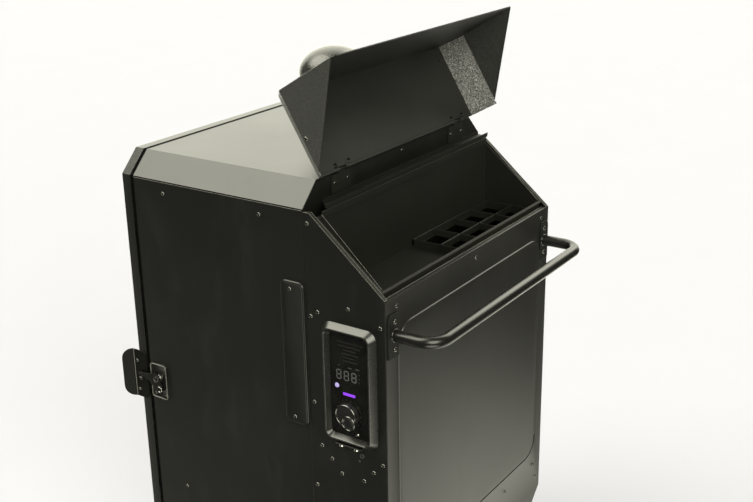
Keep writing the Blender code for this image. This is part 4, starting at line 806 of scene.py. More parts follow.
# rubber stops that the shut lid rests on, and the little stub on the right edge
st = bmesh.new()
for x in (0.250, -0.250):
    b_lathe([(0, -0.0004), (0.0042, -0.0004), (0.0045, 0.0006), (0.0036, 0.0022), (0, 0.0024)], "Z",
            (x, vd_ - 0.030, -wp_ - T - 0.0024), 20, bm=st)
o = to_obj("lid_rubber_stops", st, "rubber", 40)
lid_place(o)
put(o, "lid")
stub = b_lathe([(0, -0.0012), (0.0040, -0.0005), (0.0040, 0.0010), (0.0032, 0.0018), (0, 0.0022)], "X",
               (HW, 0.0640, -0.0520), 20)
o = to_obj("lid_side_stub", stub, "dark_zinc", 40)
lid_place(o)
put(o, "lid")
# lid knuckles
kn = bmesh.new()
for hx in (-0.2108, 0.1945):
    for s in (-1, 1):
        a, b_ = sorted((hx + s * 0.0105, hx + s * 0.0245))
        b_lathe([(0.0013, a), (0.0023, a), (0.0024, a + 0.0002), (0.0024, b_ - 0.0002), (0.0023, b_), (0.0013, b_)], "X",
                (0, 0, 0), 20, ring=True, bm=kn)
        b_prism([[(-0.0010, 0.0012), (0.0100, -wp_ - 0.0002), (0.0100, -wp_ - 0.0012), (0.0035, -wp_ - 0.0012),
                  (-0.0010, -0.0012)]], "X", a, b_, kn)
o = to_obj("lid_knuckles", kn, "latch", 40)
lid_place(o)
put(o, "lid")

# ====================================================================== push handle
HXB, yo, zh, RB = 0.2860, HOP_D + 0.086, zt(-0.248), 0.036
path = [(HXB, HOP_D + 0.0020, zh), (HXB, yo - RB - 0.002, zh)]
for i in range(15):
    a = math.radians(90.0 * i / 14)
    path.append((HXB - RB + RB * math.cos(a), yo - RB + RB * math.sin(a), zh))
half = path
full = half + [(x * k, y, z) for x, y, z in [(HXB - RB - 0.01, yo, zh)] for k in (1,)]
full = half + [(0.12, yo, zh), (0.0, yo, zh), (-0.12, yo, zh)] + [(-x, y, z) for x, y, z in half[::-1]]
tube = to_obj("push_handle_tube", b_sweep(full, 0.0112, 36), "tube", 40)
put(tube, "cabinet", "push_handle")
br = bmesh.new()
for s in (1, -1):
    b_prism([[(s * 0.2735, zt(-0.2890)), (s * 0.3060, zt(-0.2890)), (s * 0.3060, zt(-0.2175)), (s * 0.3010, zt(-0.2070)),
              (s * 0.2735, zt(-0.2070))]], "Y", HOP_D + 0.0002, HOP_D + 0.0032, br)
o = to_obj("push_handle_brackets", br, "bin", 30)
add_bevel(o, 0.0010, 3, 25)
put(o, "cabinet")
col_ = bmesh.new()
for s in (1, -1):
    b_lathe([(0.0112, 0.0), (0.0128, 0.0), (0.0126, 0.0010), (0.0118, 0.0020), (0.0112, 0.0022)], "Y",
            (s * HXB, HOP_D + 0.0031, zh), 32, ring=True, bm=col_)
put(to_obj("push_handle_collars", col_, "latch", 40), "cabinet")
screws("push_handle_bolts", "cabinet",
       [(s * 0.2865, HOP_D + 0.0031, zt(z)) for s in (1, -1) for z in (-0.2225, -0.2745)], (0, 1, 0), r=0.0046)

# ====================================================================== rear panel
EM = (-0.2735, 0.2735, zt(-0.7500), zt(-0.2356))
steps = [(-0.0004, 0.0, 0.0424), (0.0001, 0.0002, 0.0419), (0.0005, 0.0007, 0.0415), (0.0013, 0.0021, 0.0407),
         (0.0017, 0.0025, 0.0403), (0.0023, 0.0026, 0.0397)]
outline = [(-HW + CH, zt(-BODY_H)), (HW - CH, zt(-BODY_H)), (HW, zt(-BODY_H + CH)), (HW, zt(RIM_Z1)),
           (-HW, zt(RIM_Z1)), (-HW, zt(-BODY_H + CH))]
bm = bmesh.new()
edges = {}
for side_y, sgn in ((HOP_D, 1), (HOP_D - T, 1)):
    ro = [bm.verts.new((u, side_y, v)) for u, v in outline]
    rings = []
    for d, h, r in steps:
        rings.append([bm.verts.new((u, side_y + h, v)) for u, v in
                      rrect(EM[0] + d, EM[1] - d, EM[2] + d, EM[3] - d, r, 12)])
    tr = tessellate_polygon([[Vector((u, v, 0)) for u, v in outline],
                             [Vector((u, v, 0)) for u, v in rrect(*EM, steps[0][2], 12)]])
    allv = ro + rings[0]
    for i, j, k in tr:
        bm.faces.new((allv[i], allv[j], allv[k]))
    for a, b_ in zip(rings, rings[1:]):
        n = len(a)
        for i in range(n):
            j = (i + 1) % n
            bm.faces.new((a[i], a[j], b_[j], b_[i]))
    bm.faces.new(rings[-1])
    edges[side_y] = ro
a, b_ = edges[HOP_D], edges[HOP_D - T]
for i in range(len(a)):
    j = (i + 1) % len(a)
    bm.faces.new((a[i], a[j], b_[j], b_[i]))
rear = to_obj("rear_panel_sheet", bm, "rear", 35)
put(rear, "cabinet", "rear_panel")
# near-black line along the foot and the -X side of the raised field: painted shade under its step
cr = bmesh.new()
ol = rrect(EM[0] - 0.0048, EM[1], EM[2] - 0.0027, EM[3], 0.0430, 12)
k0 = max(range(len(ol)), key=lambda i: (ol[i][1], ol[i][0]))
ol = ol[k0:] + ol[:k0]
run = [(u, HOP_D + 0.0001, v) for u, v in ol if v < EM[3] - 0.060 and u < EM[1] - 0.004]
if run[0][0] > run[-1][0]:
    run.reverse()
b_sweep(run, 0.0012, 8, cr)
put(to_obj("rear_panel_crease_shade", cr, "void", 60), "cabinet")
# folded rims of the housing: dark strip between two fine light beads, painted highlights along the rim edges
rim = bmesh.new()
strips = bmesh.new()
for s in (1, -1):
    for x, r_ in ((HW - 0.0010, 0.0005), (HW - 0.0088, 0.0005)):
        b_sweep([(s * x, 0.0012, zt(RIM_Z0) - 0.0002), (s * x, RIM_Y0, zt(RIM_Z0) - 0.0002),
                 (s * x, HOP_D - 0.0020, zt(RIM_Z0 + SLOPE * (HOP_D - 0.0020 - RIM_Y0)) - 0.0002)], r_, 8, rim)
    xa, xb = sorted((s * (HW - 0.0016), s * (HW - 0.0083)))
    ya, yb = RIM_Y0, HOP_D - 0.0030
    za, zb = zt(RIM_Z0), zt(RIM_Z0 + SLOPE * (yb - RIM_Y0))
    b_prism([[(0.0010, za + 0.0001), (0.0010, za + 0.0004), (ya, za + 0.0004), (yb, zb + 0.0004), (yb, zb + 0.0001),
              (ya, za + 0.0001)]], "X", xa, xb, strips)
b_sweep([(-HW + 0.012, HOP_D - 0.0098, zt(RIM_Z1) + 0.0001), (HW - 0.012, HOP_D - 0.0098, zt(RIM_Z1) + 0.0001)], 0.0005, 8, rim)
put(to_obj("housing_rim_edge_highlights", rim, "edge", 60), "cabinet")
put(to_obj("housing_rim_strips", strips, "bin", 30), "cabinet")
# thin light beads along the bin's side rims: painted highlight
lb_ = bmesh.new()
for pts in ([(0.2930, 0.0290, zt(-0.0515)), (0.2930, 0.1520, zt(-0.1655))], [(-0.2930, 0.0290, zt(-0.0515)), (-0.2930, 0.1520, zt(-0.1655))]):
    b_sweep(pts, 0.0004, 8, lb_)
put(to_obj("bin_rim_edge_highlights", lb_, "edge", 60), "cabinet")
lp = b_prism([[(HOP_D - 0.0098, zt(RIM_Z1) - T), (HOP_D - 0.0098, zt(RIM_Z1)), (HOP_D - 0.0012, zt(RIM_Z1)),
               (HOP_D, zt(RIM_Z1) - 0.0012), (HOP_D - 0.0010, zt(RIM_Z1) - T)]], "X", -HW + 0.0094, HW - 0.0094)
o = to_obj("rear_panel_top_lip", lp, "rear", 30)
add_bevel(o, 0.0004, 2)
put(o, "cabinet")

# ====================================================================== side cover plate
bm = b_loft([
    [(X1 + 0.0003 + h, u, v) for u, v in rrect(-0.0550 + d, -0.0020 - d, zt(-0.4640) + d, zt(-0.1800) - d, 0.013 - d, 10)]
    for d, h in ((0.0, 0.0), (0.0, 0.0016), (0.0004, 0.0026), (0.0012, 0.0034), (0.0024, 0.0037), (0.0038, 0.0034),
                 (0.0050, 0.0026), (0.0060, 0.0024))])
o = to_obj("side_cover", bm, "body", 50)
put(o, "cabinet", "side_cover_plate")
screws("side_cover_screws", "cabinet", [(X1 + 0.0027, -0.0335, zt(-0.196)), (X1 + 0.0027, -0.0335, zt(-0.452))], (1, 0, 0),
       r=0.0040)

# ====================================================================== control panel
BY0, BY1, BZ0, BZ1 = 0.0345, 0.1505, zt(-0.4735), zt(-0.2395)
XB = X1 + 0.0003


def brr(d, r, x, n=12):
    return [(x, u, v) for u, v in rrect(BY0 + d, BY1 - d, BZ0 + d, BZ1 - d, r, n)]


bz = b_loft([brr(0.0, 0.020, XB), brr(0.0, 0.020, XB + 0.0010), brr(0.0004, 0.0198, XB + 0.0016),
             brr(0.0078, 0.0154, XB + 0.0122), brr(0.0085, 0.0150, XB + 0.0129), brr(0.0094, 0.0142, XB + 0.0132),
             brr(0.0102, 0.0136, XB + 0.0132), brr(0.0109, 0.0130, XB + 0.0128), brr(0.0114, 0.0125, XB + 0.0120),
             brr(0.0163, 0.0082, XB + 0.0034), brr(0.0166, 0.0080, XB + 0.0028), brr(0.0166, 0.0080, XB)], closed=True)
put(to_obj("control_bezel_moulding", bz, "bezel", 32), "cabinet", "control_bezel")
KY, KZ = 0.0897, zt(-0.411)
BY, BZ = 0.0650, zt(-0.3602)
gl = b_prism([rrect(BY0 + 0.0170, BY1 - 0.0170, BZ0 + 0.0170, BZ1 - 0.0170, 0.0075, 8), circle(KY, KZ, 0.0042, 24),
              circle(BY, BZ, 0.0050, 24)], "X", XB + 0.0002, XB + 0.0024)
o = to_obj("control_window", gl, "glass", 30)
put(o, "cabinet", "display_glass")
XG = XB + 0.00242


def plate(name, quads, mat, h=0.00012):
    bm = bmesh.new()
    for lp_ in quads:
        b_prism([lp_], "X", XG, XG + h, bm)
    return put(to_obj(name, bm, mat, None), "cabinet")


def seg_digit(cy, cz, w, h, t, slant=0.10):
    """Seven segments of one digit, as bevelled bars."""
    out = []
    gp = t * 0.18

    def bar(p, q):
        (y0, z0), (y1, z1) = p, q
        d = Vector((y1 - y0, z1 - z0))
        L = d.length
        d.normalize()
        nrm = Vector((-d.y, d.x)) * (t / 2)
        a = Vector(p) + d * gp
        b = Vector(q) - d * gp
        pts = [a, a + d * (t / 2) + nrm, b - d * (t / 2) + nrm, b, b - d * (t / 2) - nrm, a + d * (t / 2) - nrm]
        out.append([(y + slant * (z - cz) * 0 + y * 0, z) for y, z in pts])
    y0, y1 = cy - w / 2, cy + w / 2
    z0, z1, zm = cz - h / 2, cz + h / 2, cz
    bar((y0, z1), (y1, z1))
    bar((y0, zm), (y1, zm))
    bar((y0, z0), (y1, z0))
    bar((y0, zm), (y0, z1))
    bar((y1, zm), (y1, z1))
    bar((y0, z0), (y0, zm))
    bar((y1, z0), (y1, zm))
    return out


segs = []
for cy in (0.0700, 0.0863, 0.1026):
    segs += seg_digit(cy, zt(-0.3370), 0.0090, 0.0172, 0.0021)
plate("display_digits", segs, "seg")
marks = [rrect(0.0685, 0.0713, zt(-0.3205), zt(-0.3180), 0.0009, 3), rrect(0.0900, 0.0985, zt(-0.3215), zt(-0.3190), 0.0006, 2),
         rrect(0.1060, 0.1150, zt(-0.3205), zt(-0.3180), 0.0006, 2), circle(0.1140, zt(-0.3290), 0.0010, 14),
         circle(0.1140, zt(-0.3370), 0.0010, 14), circle(0.1140, zt(-0.3450), 0.0010, 14)]
plate("display_marks", marks, "seg2")
soft_marks = [rrect(0.0640, 0.1210, zt(-0.2735), zt(-0.2715), 0.0008, 2)]
for k, (a, b_) in enumerate(((0.069, 0.117), (0.080, 0.108), (0.076, 0.113), (0.080, 0.105), (0.080, 0.111))):
    soft_marks.append(rrect(a, b_, zt(-0.2815 - 0.0070 * k), zt(-0.2790 - 0.0070 * k), 0.0008, 2))
plate("display_bars", soft_marks, "seg3")
plate("status_light_bar", [rrect(0.0782, 0.1045, zt(-0.3760), zt(-0.3708), 0.0012, 5)], "violet", 0.0004)
plate("dial_ticks", [[(KY + 0.0255 * math.cos(a) - 0.0004 * math.sin(a), KZ + 0.0255 * math.sin(a) + 0.0004 * math.cos(a)),
                      (KY + 0.0255 * math.cos(a) + 0.0004 * math.sin(a), KZ + 0.0255 * math.sin(a) - 0.0004 * math.cos(a)),
                      (KY + 0.0275 * math.cos(a) + 0.0004 * math.sin(a), KZ + 0.0275 * math.sin(a) - 0.0004 * math.cos(a)),
                      (KY + 0.0275 * math.cos(a) - 0.0004 * math.sin(a), KZ + 0.0275 * math.sin(a) + 0.0004 * math.cos(a))]
                     for a in [math.radians(-40 + 20 * i) for i in range(14)]], "seg2")

btn = b_lathe([(0, -0.0037), (0.0046, -0.0037), (0.0046, 0.0000), (0.0044, 0.0005), (0.0038, 0.0010), (0.0024, 0.0013),
               (0, 0.0014)], "X", (XB + 0.0024, BY, BZ), 32)
put(to_obj("power_button_cap", btn, "btn", 40), "button", "power_button")

KX = XB + 0.0028
kprof = [(0.0, -0.0118), (0.0034, -0.0118), (0.0034, 0.0), (0.0216, 0.0), (0.0225, 0.0004), (0.0227, 0.0014)]
kb = b_lathe(kprof + [(0.0222, 0.0098), (0.0219, 0.0108), (0.0213, 0.0115), (0.0206, 0.0117),
                      (0.0150, 0.0113), (0.0, 0.0112)], "X", (KX, KY, KZ), 64)
o = to_obj("control_knob_body", kb, "knob", 35)
put(o, "knob", "control_knob")
gr_ = bmesh.new()
for i in range(40):
    a = 2 * math.pi * i / 40
    ca, sa = math.cos(a), math.sin(a)
    r0, r1 = 0.0226, 0.0222
    b_sweep([(KX + 0.0022, KY + r0 * ca, KZ + r0 * sa), (KX + 0.0090, KY + r1 * ca, KZ + r1 * sa)], 0.00055, 6, gr_)
put(to_obj("control_knob_grip", gr_, "knob", 50), "knob")
ring = b_lathe([(0.0197, 0.0112), (0.0203, 0.0121), (0.0209, 0.0124), (0.0216, 0.0121), (0.0219, 0.0112),
                (0.0208, 0.0108)], "X", (KX, KY, KZ), 64, ring=True)
put(to_obj("control_knob_ring", ring, "dark_zinc", 50), "knob")
cy_, cz_ = KY + 0.0085, KZ - 0.0110
cup = b_lathe([(0, 0.0105), (0.0140, 0.0105), (0.0144, 0.0115), (0.0142, 0.0140), (0.0134, 0.0150), (0.0126, 0.0150),
               (0.0114, 0.0138), (0.0090, 0.0126), (0.0045, 0.0119), (0, 0.0117)], "X", (KX, cy_, cz_), 48)
put(to_obj("control_knob_finger_cup", cup, "knob", 50), "knob")
ring = b_lathe([(0.0127, 0.0148), (0.0132, 0.0153), (0.0138, 0.0149), (0.0139, 0.0142), (0.0129, 0.0142)], "X",
               (KX, cy_, cz_), 48, ring=True)
put(to_obj("control_knob_cup_ring", ring, "dark_zinc", 50), "knob")

# probe sockets beneath the bezel
pj = b_prism([rrect(0.0615, 0.1185, zt(-0.4762), zt(-0.4738), 0.0011, 4)], "X", XB, XB + 0.0092)
o = to_obj("probe_jack_strip", pj, "bezel", 30)
add_bevel(o, 0.0006, 2)
put(o, "cabinet", "probe_jacks")
jk = bmesh.new()
for yy in (0.0735, 0.1065):
    b_lathe([(0.0050, 0.0006), (0.0051, -0.0026), (0.0047, -0.0036), (0.0038, -0.0042), (0.0026, -0.0040), (0.0020, -0.0022),
             (0.0020, 0.0006)], "Z", (XB + 0.0051, yy, zt(-0.4762)), 32, ring=True, bm=jk)
put(to_obj("probe_jack_rings", jk, "bright", 40), "cabinet")
b_ = b_lathe([(0, 0), (0.0030, 0.0), (0.0034, 0.0010), (0.0026, 0.0022), (0, 0.0026)], "X", (XG - 0.0002, 0.1075, zt(-0.4492)), 24)
put(to_obj("window_stud", b_, "bright", 40), "cabinet")
# rubber cable grommet and vent hole ring on the housing below the panel
gm = b_lathe([(0.0018, 0.0), (0.0052, 0.0), (0.0055, 0.0010), (0.0048, 0.0024), (0.0034, 0.0028), (0.0022, 0.0022)], "X",
             (X1, 0.1148, zt(-0.4905)), 28, ring=True)
put(to_obj("cable_grommet", gm, "rubber", 50), "cabinet")
vh = b_lathe([(0.0020, 0.0), (0.0034, 0.0), (0.0034, 0.0004), (0.0024, 0.0005)], "X", (X1, 0.1098, zt(-0.5020)), 24, ring=True)
put(to_obj("vent_hole_ring", vh, "latch", 50), "cabinet")

# ====================================================================== door
def octagon(d=0.0):
    p = [(-HW + CH, zt(-BODY_H)), (HW - CH, zt(-BODY_H)), (HW, zt(-BODY_H + CH)), (HW, zt(-CH)), (HW - CH, zt(0)),
         (-HW + CH, zt(0)), (-HW, zt(-CH)), (-HW, zt(-BODY_H + CH))]
    n = len(p)
    out = []
    for i in range(n):
        p0, p1, p2 = Vector(p[i - 1]), Vector(p[i]), Vector(p[(i + 1) % n])
        a, b = (p1 - p0).normalized(), (p2 - p1).normalized()
        na, nb = Vector((-a.y, a.x)), Vector((-b.y, b.x))
        q = p1 + (na + nb) * (d / (1.0 + na.dot(nb)))
        out.append((q.x, q.y))
    return out


DY0, DY1 = -0.4370, -0.4145
R_ = 0.0030
prof = [(0.0, DY1)]
for i in range(7):
    a = math.pi / 2 * i / 6
    prof.append((R_ - R_ * math.cos(a), DY0 + R_ - R_ * math.sin(a)))
loops = [[(x, y, z) for x, z in octagon(d)] for d, y in prof]
inner = [[(x, y, z) for x, z in octagon(d + T)] for d, y in ((0.0, DY1), (0.0, DY0 + R_), (R_ * 0.4, DY0 + T + 0.0002))]
# front face with a raised field
F0 = (-0.262, 0.262, zt(-0.848), zt(-0.048))
bm = bmesh.new()
rings = [[bm.verts.new(p) for p in lp_] for lp_ in loops]
for a, b_ in zip(rings, rings[1:]):
    for i in range(8):
        j = (i + 1) % 8
        bm.faces.new((a[i], a[j], b_[j], b_[i]))
fr = []
for d, h, r in steps:
    fr.append([bm.verts.new((u, DY0 + h * 0.72, v)) for u, v in rrect(F0[0] + d, F0[1] - d, F0[2] + d, F0[3] - d, r, 12)])
tr = tessellate_polygon([[Vector((x, z, 0)) for x, z in octagon(prof[-1][0])],
                         [Vector((u, v, 0)) for u, v in rrect(*F0, steps[0][2], 12)]])
allv = rings[-1] + fr[0]
for i, j, k in tr:
    bm.faces.new((allv[i], allv[j], allv[k]))
for a, b_ in zip(fr, fr[1:]):
    n = len(a)
    for i in range(n):
        j = (i + 1) % n
        bm.faces.new((a[i], a[j], b_[j], b_[i]))
bm.faces.new(fr[-1])
ir = [[bm.verts.new(p) for p in lp_] for lp_ in inner]
for a, b_ in zip(ir, ir[1:]):
    for i in range(8):
        j = (i + 1) % 8
        bm.faces.new((a[i], b_[i], b_[j], a[j]))
bm.faces.new(ir[-1])
for i in range(8):
    j = (i + 1) % 8
    bm.faces.new((rings[0][i], ir[0][i], ir[0][j], rings[0][j]))
door = to_obj("door_skin", bm, "body", 35)
door.data.materials.append(M["wrinkle"])
for p in door.data.polygons:
    if abs(p.normal.x) > 0.5 and abs(p.normal.z) > 0.5:
        p.material_index = 1
put(door, "door", "door_outer_skin")

# seal: a round braided rope in its channel
seal = bmesh.new()
for d, rr in ((0.012, 0.0017),):
    o8 = octagon(d)
    pts = []
    for i in range(8):
        a, b_, c = Vector(o8[i - 1]), Vector(o8[i]), Vector(o8[(i + 1) % 8])
        p = b_ + (a - b_).normalized() * 0.012
        q = b_ + (c - b_).normalized() * 0.012
        for t in range(5):
            f = t / 4
            w = (p * (1 - f) + b_ * f) * (1 - f) + (b_ * (1 - f) + q * f) * f
            pts.append((w.x, -0.41265, w.y))
    n = len(pts)
    dense = []
    for i in range(n):
        a, b_ = Vector(pts[i]), Vector(pts[(i + 1) % n])
        L = (b_ - a).length
        k = max(1, int(L / 0.012))
        for t in range(k):
            dense.append(a.lerp(b_, t / k))
    loops_ = []
    m = len(dense)
    for i, p in enumerate(dense):
        t = (dense[(i + 1) % m] - dense[i - 1]).normalized()
        s = t.cross(Vector((0, 1, 0))).normalized()
        loops_.append([tuple(p + s * (0.0058 * math.cos(a)) + Vector((0, 1, 0)) * (rr * math.sin(a)))
                       for a in [2 * math.pi * k / 12 for k in range(12)]])
    b_loft(loops_, closed=True, bm=seal)
put(to_obj("door_seal_rope", seal, "rope", 60), "door", "door_gasket")

# pull plate with its flared wing
PZ0, PZ1 = zt(-0.5220), zt(-0.4160)
PULL_Y, PULL_L = -0.4510, 0.0250
sec = [(0.3113, -0.4157), (0.3113, -0.4230), (0.3113, PULL_Y + 0.0026)]
for i in range(1, 7):
    a = math.radians(36.87 * i / 6)
    sec.append((0.3113 + 0.0072 * (1 - math.cos(a)), PULL_Y + 0.0026 - 0.0072 * math.sin(a)))
ex, ey = sec[-1]
Lw = PULL_L - 0.0025
NW = 22
for i in range(1, NW + 1):
    sec.append((ex + 0.60 * Lw * i / NW, ey - 0.80 * Lw * i / NW))
total = [0.0]
for p, q in zip(sec, sec[1:]):
    total.append(total[-1] + math.hypot(q[0] - p[0], q[1] - p[1]))
Lt = total[-1]
r_in, r_out = 0.0065, 0.0225
bm = bmesh.new()
NZ = 2
rows = []
for k, (p, s) in enumerate(zip(sec, total)):
    zlo, zhi = PZ0, PZ1
    ins = 0.0
    if s < r_in:
        ins = r_in - math.sqrt(max(0, r_in ** 2 - (r_in - s) ** 2))
    elif s > Lt - r_out:
        d = s - (Lt - r_out)
        ins = r_out - math.sqrt(max(0, r_out ** 2 - min(d, r_out) ** 2))
        ins = min(ins, (PZ1 - PZ0) / 2 - 0.006) + 0.0
    zlo, zhi = PZ0 + ins, PZ1 - ins
    rows.append([bm.verts.new((p[0], p[1], zlo + (zhi - zlo) * j / NZ)) for j in range(NZ + 1)])
for a, b_ in zip(rows, rows[1:]):
    for j in range(NZ):
        bm.faces.new((a[j], a[j + 1], b_[j + 1], b_[j]))
me = bpy.data.meshes.new("pull_sheet")
bm.to_mesh(me)
bm.free()
pull = bpy.data.objects.new("door_pull_sheet", me)
bpy.context.scene.collection.objects.link(pull)
me.materials.append(M["pull"])
s_ = pull.modifiers.new("s", "SOLIDIFY")
s_.thickness, s_.offset, s_.use_even_offset = 0.0018, 0, True
apply_mods(pull)
add_bevel(pull, 0.0006, 3, 45)
put(pull, "door", "door_pull")
screws("door_pull_screws", "door", [(0.3122, -0.4415, zt(-0.4405)), (0.3122, -0.4415, zt(-0.5050))], (1, 0, 0), r=0.0038)
stk = b_prism([rrect(-0.4310, -0.4230, zt(-0.4770), zt(-0.4705), 0.0012, 4)], "X", 0.3118, 0.3215)
o = to_obj("latch_strike", stk, "dark_zinc", 30)
add_bevel(o, 0.0008, 3)
put(o, "door")

# seal lip round the front of the cabinet and the seam under the top panel's folded edge, both near-black strips of
# painted shade in the gaps, and a light bead of painted highlight along each side panel's top fold
def body_outline(d):
    return [(-HW + CH, zt(0.0) + d), (HW - CH, zt(0.0) + d), (HW + d, zt(-CH)), (HW + d, zt(-BODY_H + CH)),
            (HW - CH, zt(-BODY_H) - d), (-HW + CH, zt(-BODY_H) - d), (-HW - d, zt(-BODY_H + CH)), (-HW - d, zt(-CH))]


sl = b_prism([body_outline(0.0005), body_outline(0.0001)], "Y", -0.4104, -0.4062)
put(to_obj("door_seal_lip_shade", sl, "void", 30), "cabinet")
sv, sb = bmesh.new(), bmesh.new()
for s in (1, -1):
    xa, xb = sorted((s * (HW + 0.0001), s * (HW + 0.0004)))
    b_prism([[(xa, zt(-CH - 0.0022)), (xb, zt(-CH - 0.0022)), (xb, zt(-CH - 0.0002)), (xa, zt(-CH - 0.0002))]], "Y",
            -0.4060, -0.0015, sv)
    b_sweep([(s * (HW + 0.0001), -0.4060, zt(-CH - 0.0029)), (s * (HW + 0.0001), -0.0015, zt(-CH - 0.0029))], 0.0005, 8, sb)
put(to_obj("top_panel_seam_shade", sv, "void", 30), "cabinet")
put(to_obj("side_panel_top_fold_highlights", sb, "edge", 60), "cabinet")

# ====================================================================== latch
lb = b_loft([[(x, u, v) for u, v in rrect(-0.4030 + d, -0.3600 - d, zt(-0.5095) + d, zt(-0.4335) - d, max(0.0065 - d, 0.002), 8)]
             for d, x in ((0.0, 0.3103), (0.0, 0.3138), (0.0004, 0.3145), (0.0010, 0.3148), (0.0018, 0.3146), (0.0024, 0.3138),
                          (0.0028, 0.3126), (0.0036, 0.3123))])
put(to_obj("latch_base_pressing", lb, "latch", 40), "cabinet", "latch_base")
LPY, LPZ = -0.3850, zt(-0.4660)
pv = bmesh.new()
b_lathe([(0, 0.0), (0.0066, 0.0), (0.0066, 0.0024), (0.0058, 0.0029), (0.0041, 0.0029), (0.0041, 0.0070), (0.0062, 0.0070),
         (0.0064, 0.0076), (0.0060, 0.0092), (0.0044, 0.0104), (0.0022, 0.0106), (0.0018, 0.0096), (0, 0.0096)], "X",
        (0.3120, LPY, LPZ), 32, bm=pv)
put(to_obj("latch_pivot_rivet", pv, "dark_zinc", 35), "cabinet")
# thin light bead round the latch base: painted highlight on its rim
rb = bmesh.new()
rp_ = rrect(-0.4020, -0.3610, zt(-0.5085), zt(-0.4345), 0.0055, 8)
b_sweep([(0.3146, u, v) for u, v in rp_] + [(0.3146, rp_[0][0], rp_[0][1])], 0.0009, 10, rb)
put(to_obj("latch_base_rim_highlight", rb, "edge", 60), "cabinet")
# thin light bead along the pull's bend: painted highlight
fl = bmesh.new()
b_sweep([(0.3127, PULL_Y + 0.0020, PZ0 + 0.0008), (0.3127, PULL_Y + 0.0020, PZ1 - 0.0008)], 0.0009, 10, fl)
put(to_obj("door_pull_fold_highlight", fl, "edge", 60), "door")
lvp = [(-0.4362, zt(-0.4695)), (-0.4200, zt(-0.4695)), (-0.4060, zt(-0.4738)), (-0.3970, zt(-0.4830)), (-0.3900, zt(-0.4930)),
       (-0.3800, zt(-0.4960)), (-0.3730, zt(-0.4910)), (-0.3720, zt(-0.4800)), (-0.3745, zt(-0.4680)), (-0.3790, zt(-0.4580)),
       (-0.3870, zt(-0.4540)), (-0.3980, zt(-0.4560)), (-0.4120, zt(-0.4600)), (-0.4362, zt(-0.4622))]
lv = b_prism([lvp, circle(LPY, LPZ, 0.0043, 24)], "X", 0.3152, 0.3190)
o = to_obj("latch_lever_plate", lv, "latch", 30)
add_bevel(o, 0.0007, 3, 30)
put(o, "latch", "latch_lever")
# torsion spring round the pivot, with its two legs
sp = []
turns, r_s = 3.25, 0.0078
for i in range(int(turns * 20) + 1):
    a = 2 * math.pi * i / 20
    sp.append((0.3128 + 0.0018 * i / (turns * 20), LPY + r_s * math.cos(a), LPZ + r_s * math.sin(a)))
sp = [(0.3130, LPY + 0.016, LPZ + 0.012), (0.3129, LPY + 0.0110, LPZ + 0.0030)] + sp + \
     [(0.3146, LPY - 0.003, LPZ - 0.0120), (0.3146, LPY + 0.002, LPZ - 0.0230)]
o = to_obj("latch_spring", b_sweep(sp, 0.00055, 10), "bright", 60)
put(o, "cabinet")
hk = [(0.3196, -0.3770, zt(-0.4870))]
tail = []
for i in range(20):
    a = math.radians(-120 + 260 * i / 19)
    tail.append((0.3200, -0.3770 + 0.0058 * math.cos(a), zt(-0.4870) + 0.0058 * math.sin(a)))
put(to_obj("latch_finger_loop", b_sweep(tail, 0.0010, 12), "bright", 60), "latch")
screws("latch_base_screws", "cabinet", [(0.3124, -0.3680, zt(-0.4430)), (0.3124, -0.3950, zt(-0.5010)),
                                        (0.3124, -0.3680, zt(-0.5010))], (1, 0, 0), r=0.0032)

# ====================================================================== chimney
CX, CY = 0.0, -0.150
cp = b_lathe([(0.0363, -0.034), (0.0375, -0.034), (0.0375, 0.0004), (0.0590, 0.0004), (0.0600, 0.0010), (0.0596, 0.0017),
              (0.0440, 0.0022), (0.0402, 0.0030), (0.0382, 0.0050), (0.0375, 0.0080), (0.0375, 0.0895), (0.0378, 0.0912),
              (0.0372, 0.0922), (0.0363, 0.0915)], "Z", (CX, CY, TOP), 72, ring=True)
put(to_obj("chimney_pipe_tube", cp, "hammer", 40), "cabinet", "chimney_pipe")
bmx = b_prism([[(CX - 0.0368, CY - 0.006), (CX - 0.010, CY - 0.006), (CX - 0.006, CY - 0.008), (CX + 0.006, CY - 0.008),
                (CX + 0.010, CY - 0.006), (CX + 0.0368, CY - 0.006), (CX + 0.0368, CY + 0.006), (CX + 0.010, CY + 0.006),
                (CX + 0.006, CY + 0.008), (CX - 0.006, CY + 0.008), (CX - 0.010, CY + 0.006), (CX - 0.0368, CY + 0.006)],
               circle(CX, CY, 0.0034, 20)], "Z", zt(0.060), zt(0.063))
put(to_obj("chimney_bridge", bmx, "zinc", 40), "cabinet")
screws("chimney_flange_screws", "cabinet",
       [(CX + 0.0515 * math.cos(a), CY + 0.0515 * math.sin(a), zt(0.0019)) for a in
        [math.radians(45 + 90 * i) for i in range(4)]], (0, 0, 1), r=0.0034)
CR, CHH, CZ = 0.069, 0.050, zt(0.130)
prof = []
NP = 22
for i in range(NP + 1):
    a = math.pi / 2 * (1 - i / NP)
    prof.append((CR * math.cos(a), CHH * math.sin(a)))
prof[0] = (0.0, CHH)
prof += [(CR + 0.0002, -0.0040), (CR, -0.0056), (CR - 0.0006, -0.0062), (CR - T, -0.0056)]
for i in range(NP, -1, -1):
    a = math.pi / 2 * (1 - i / NP)
    prof.append(((CR - T) * math.cos(a), (CHH - T) * math.sin(a)))
prof = [p for p in prof if not (p[0] < 0.0035 and p[1] < CHH - 1e-6)]
prof += [(0.0032, CHH - T - 0.0001)]
zz = CHH - T - 0.0006
while zz > -0.0755:
    prof.append((0.0031, zz))
    prof.append((0.0025, zz - 0.0006))
    zz -= 0.00125
prof += [(0.0024, -0.0775), (0.0, -0.0780)]
cap = b_lathe(prof, "Z", (CX, CY, CZ), 96)
put(to_obj("chimney_cap_dome", cap, "hammer", 50), "cap", "chimney_cap")

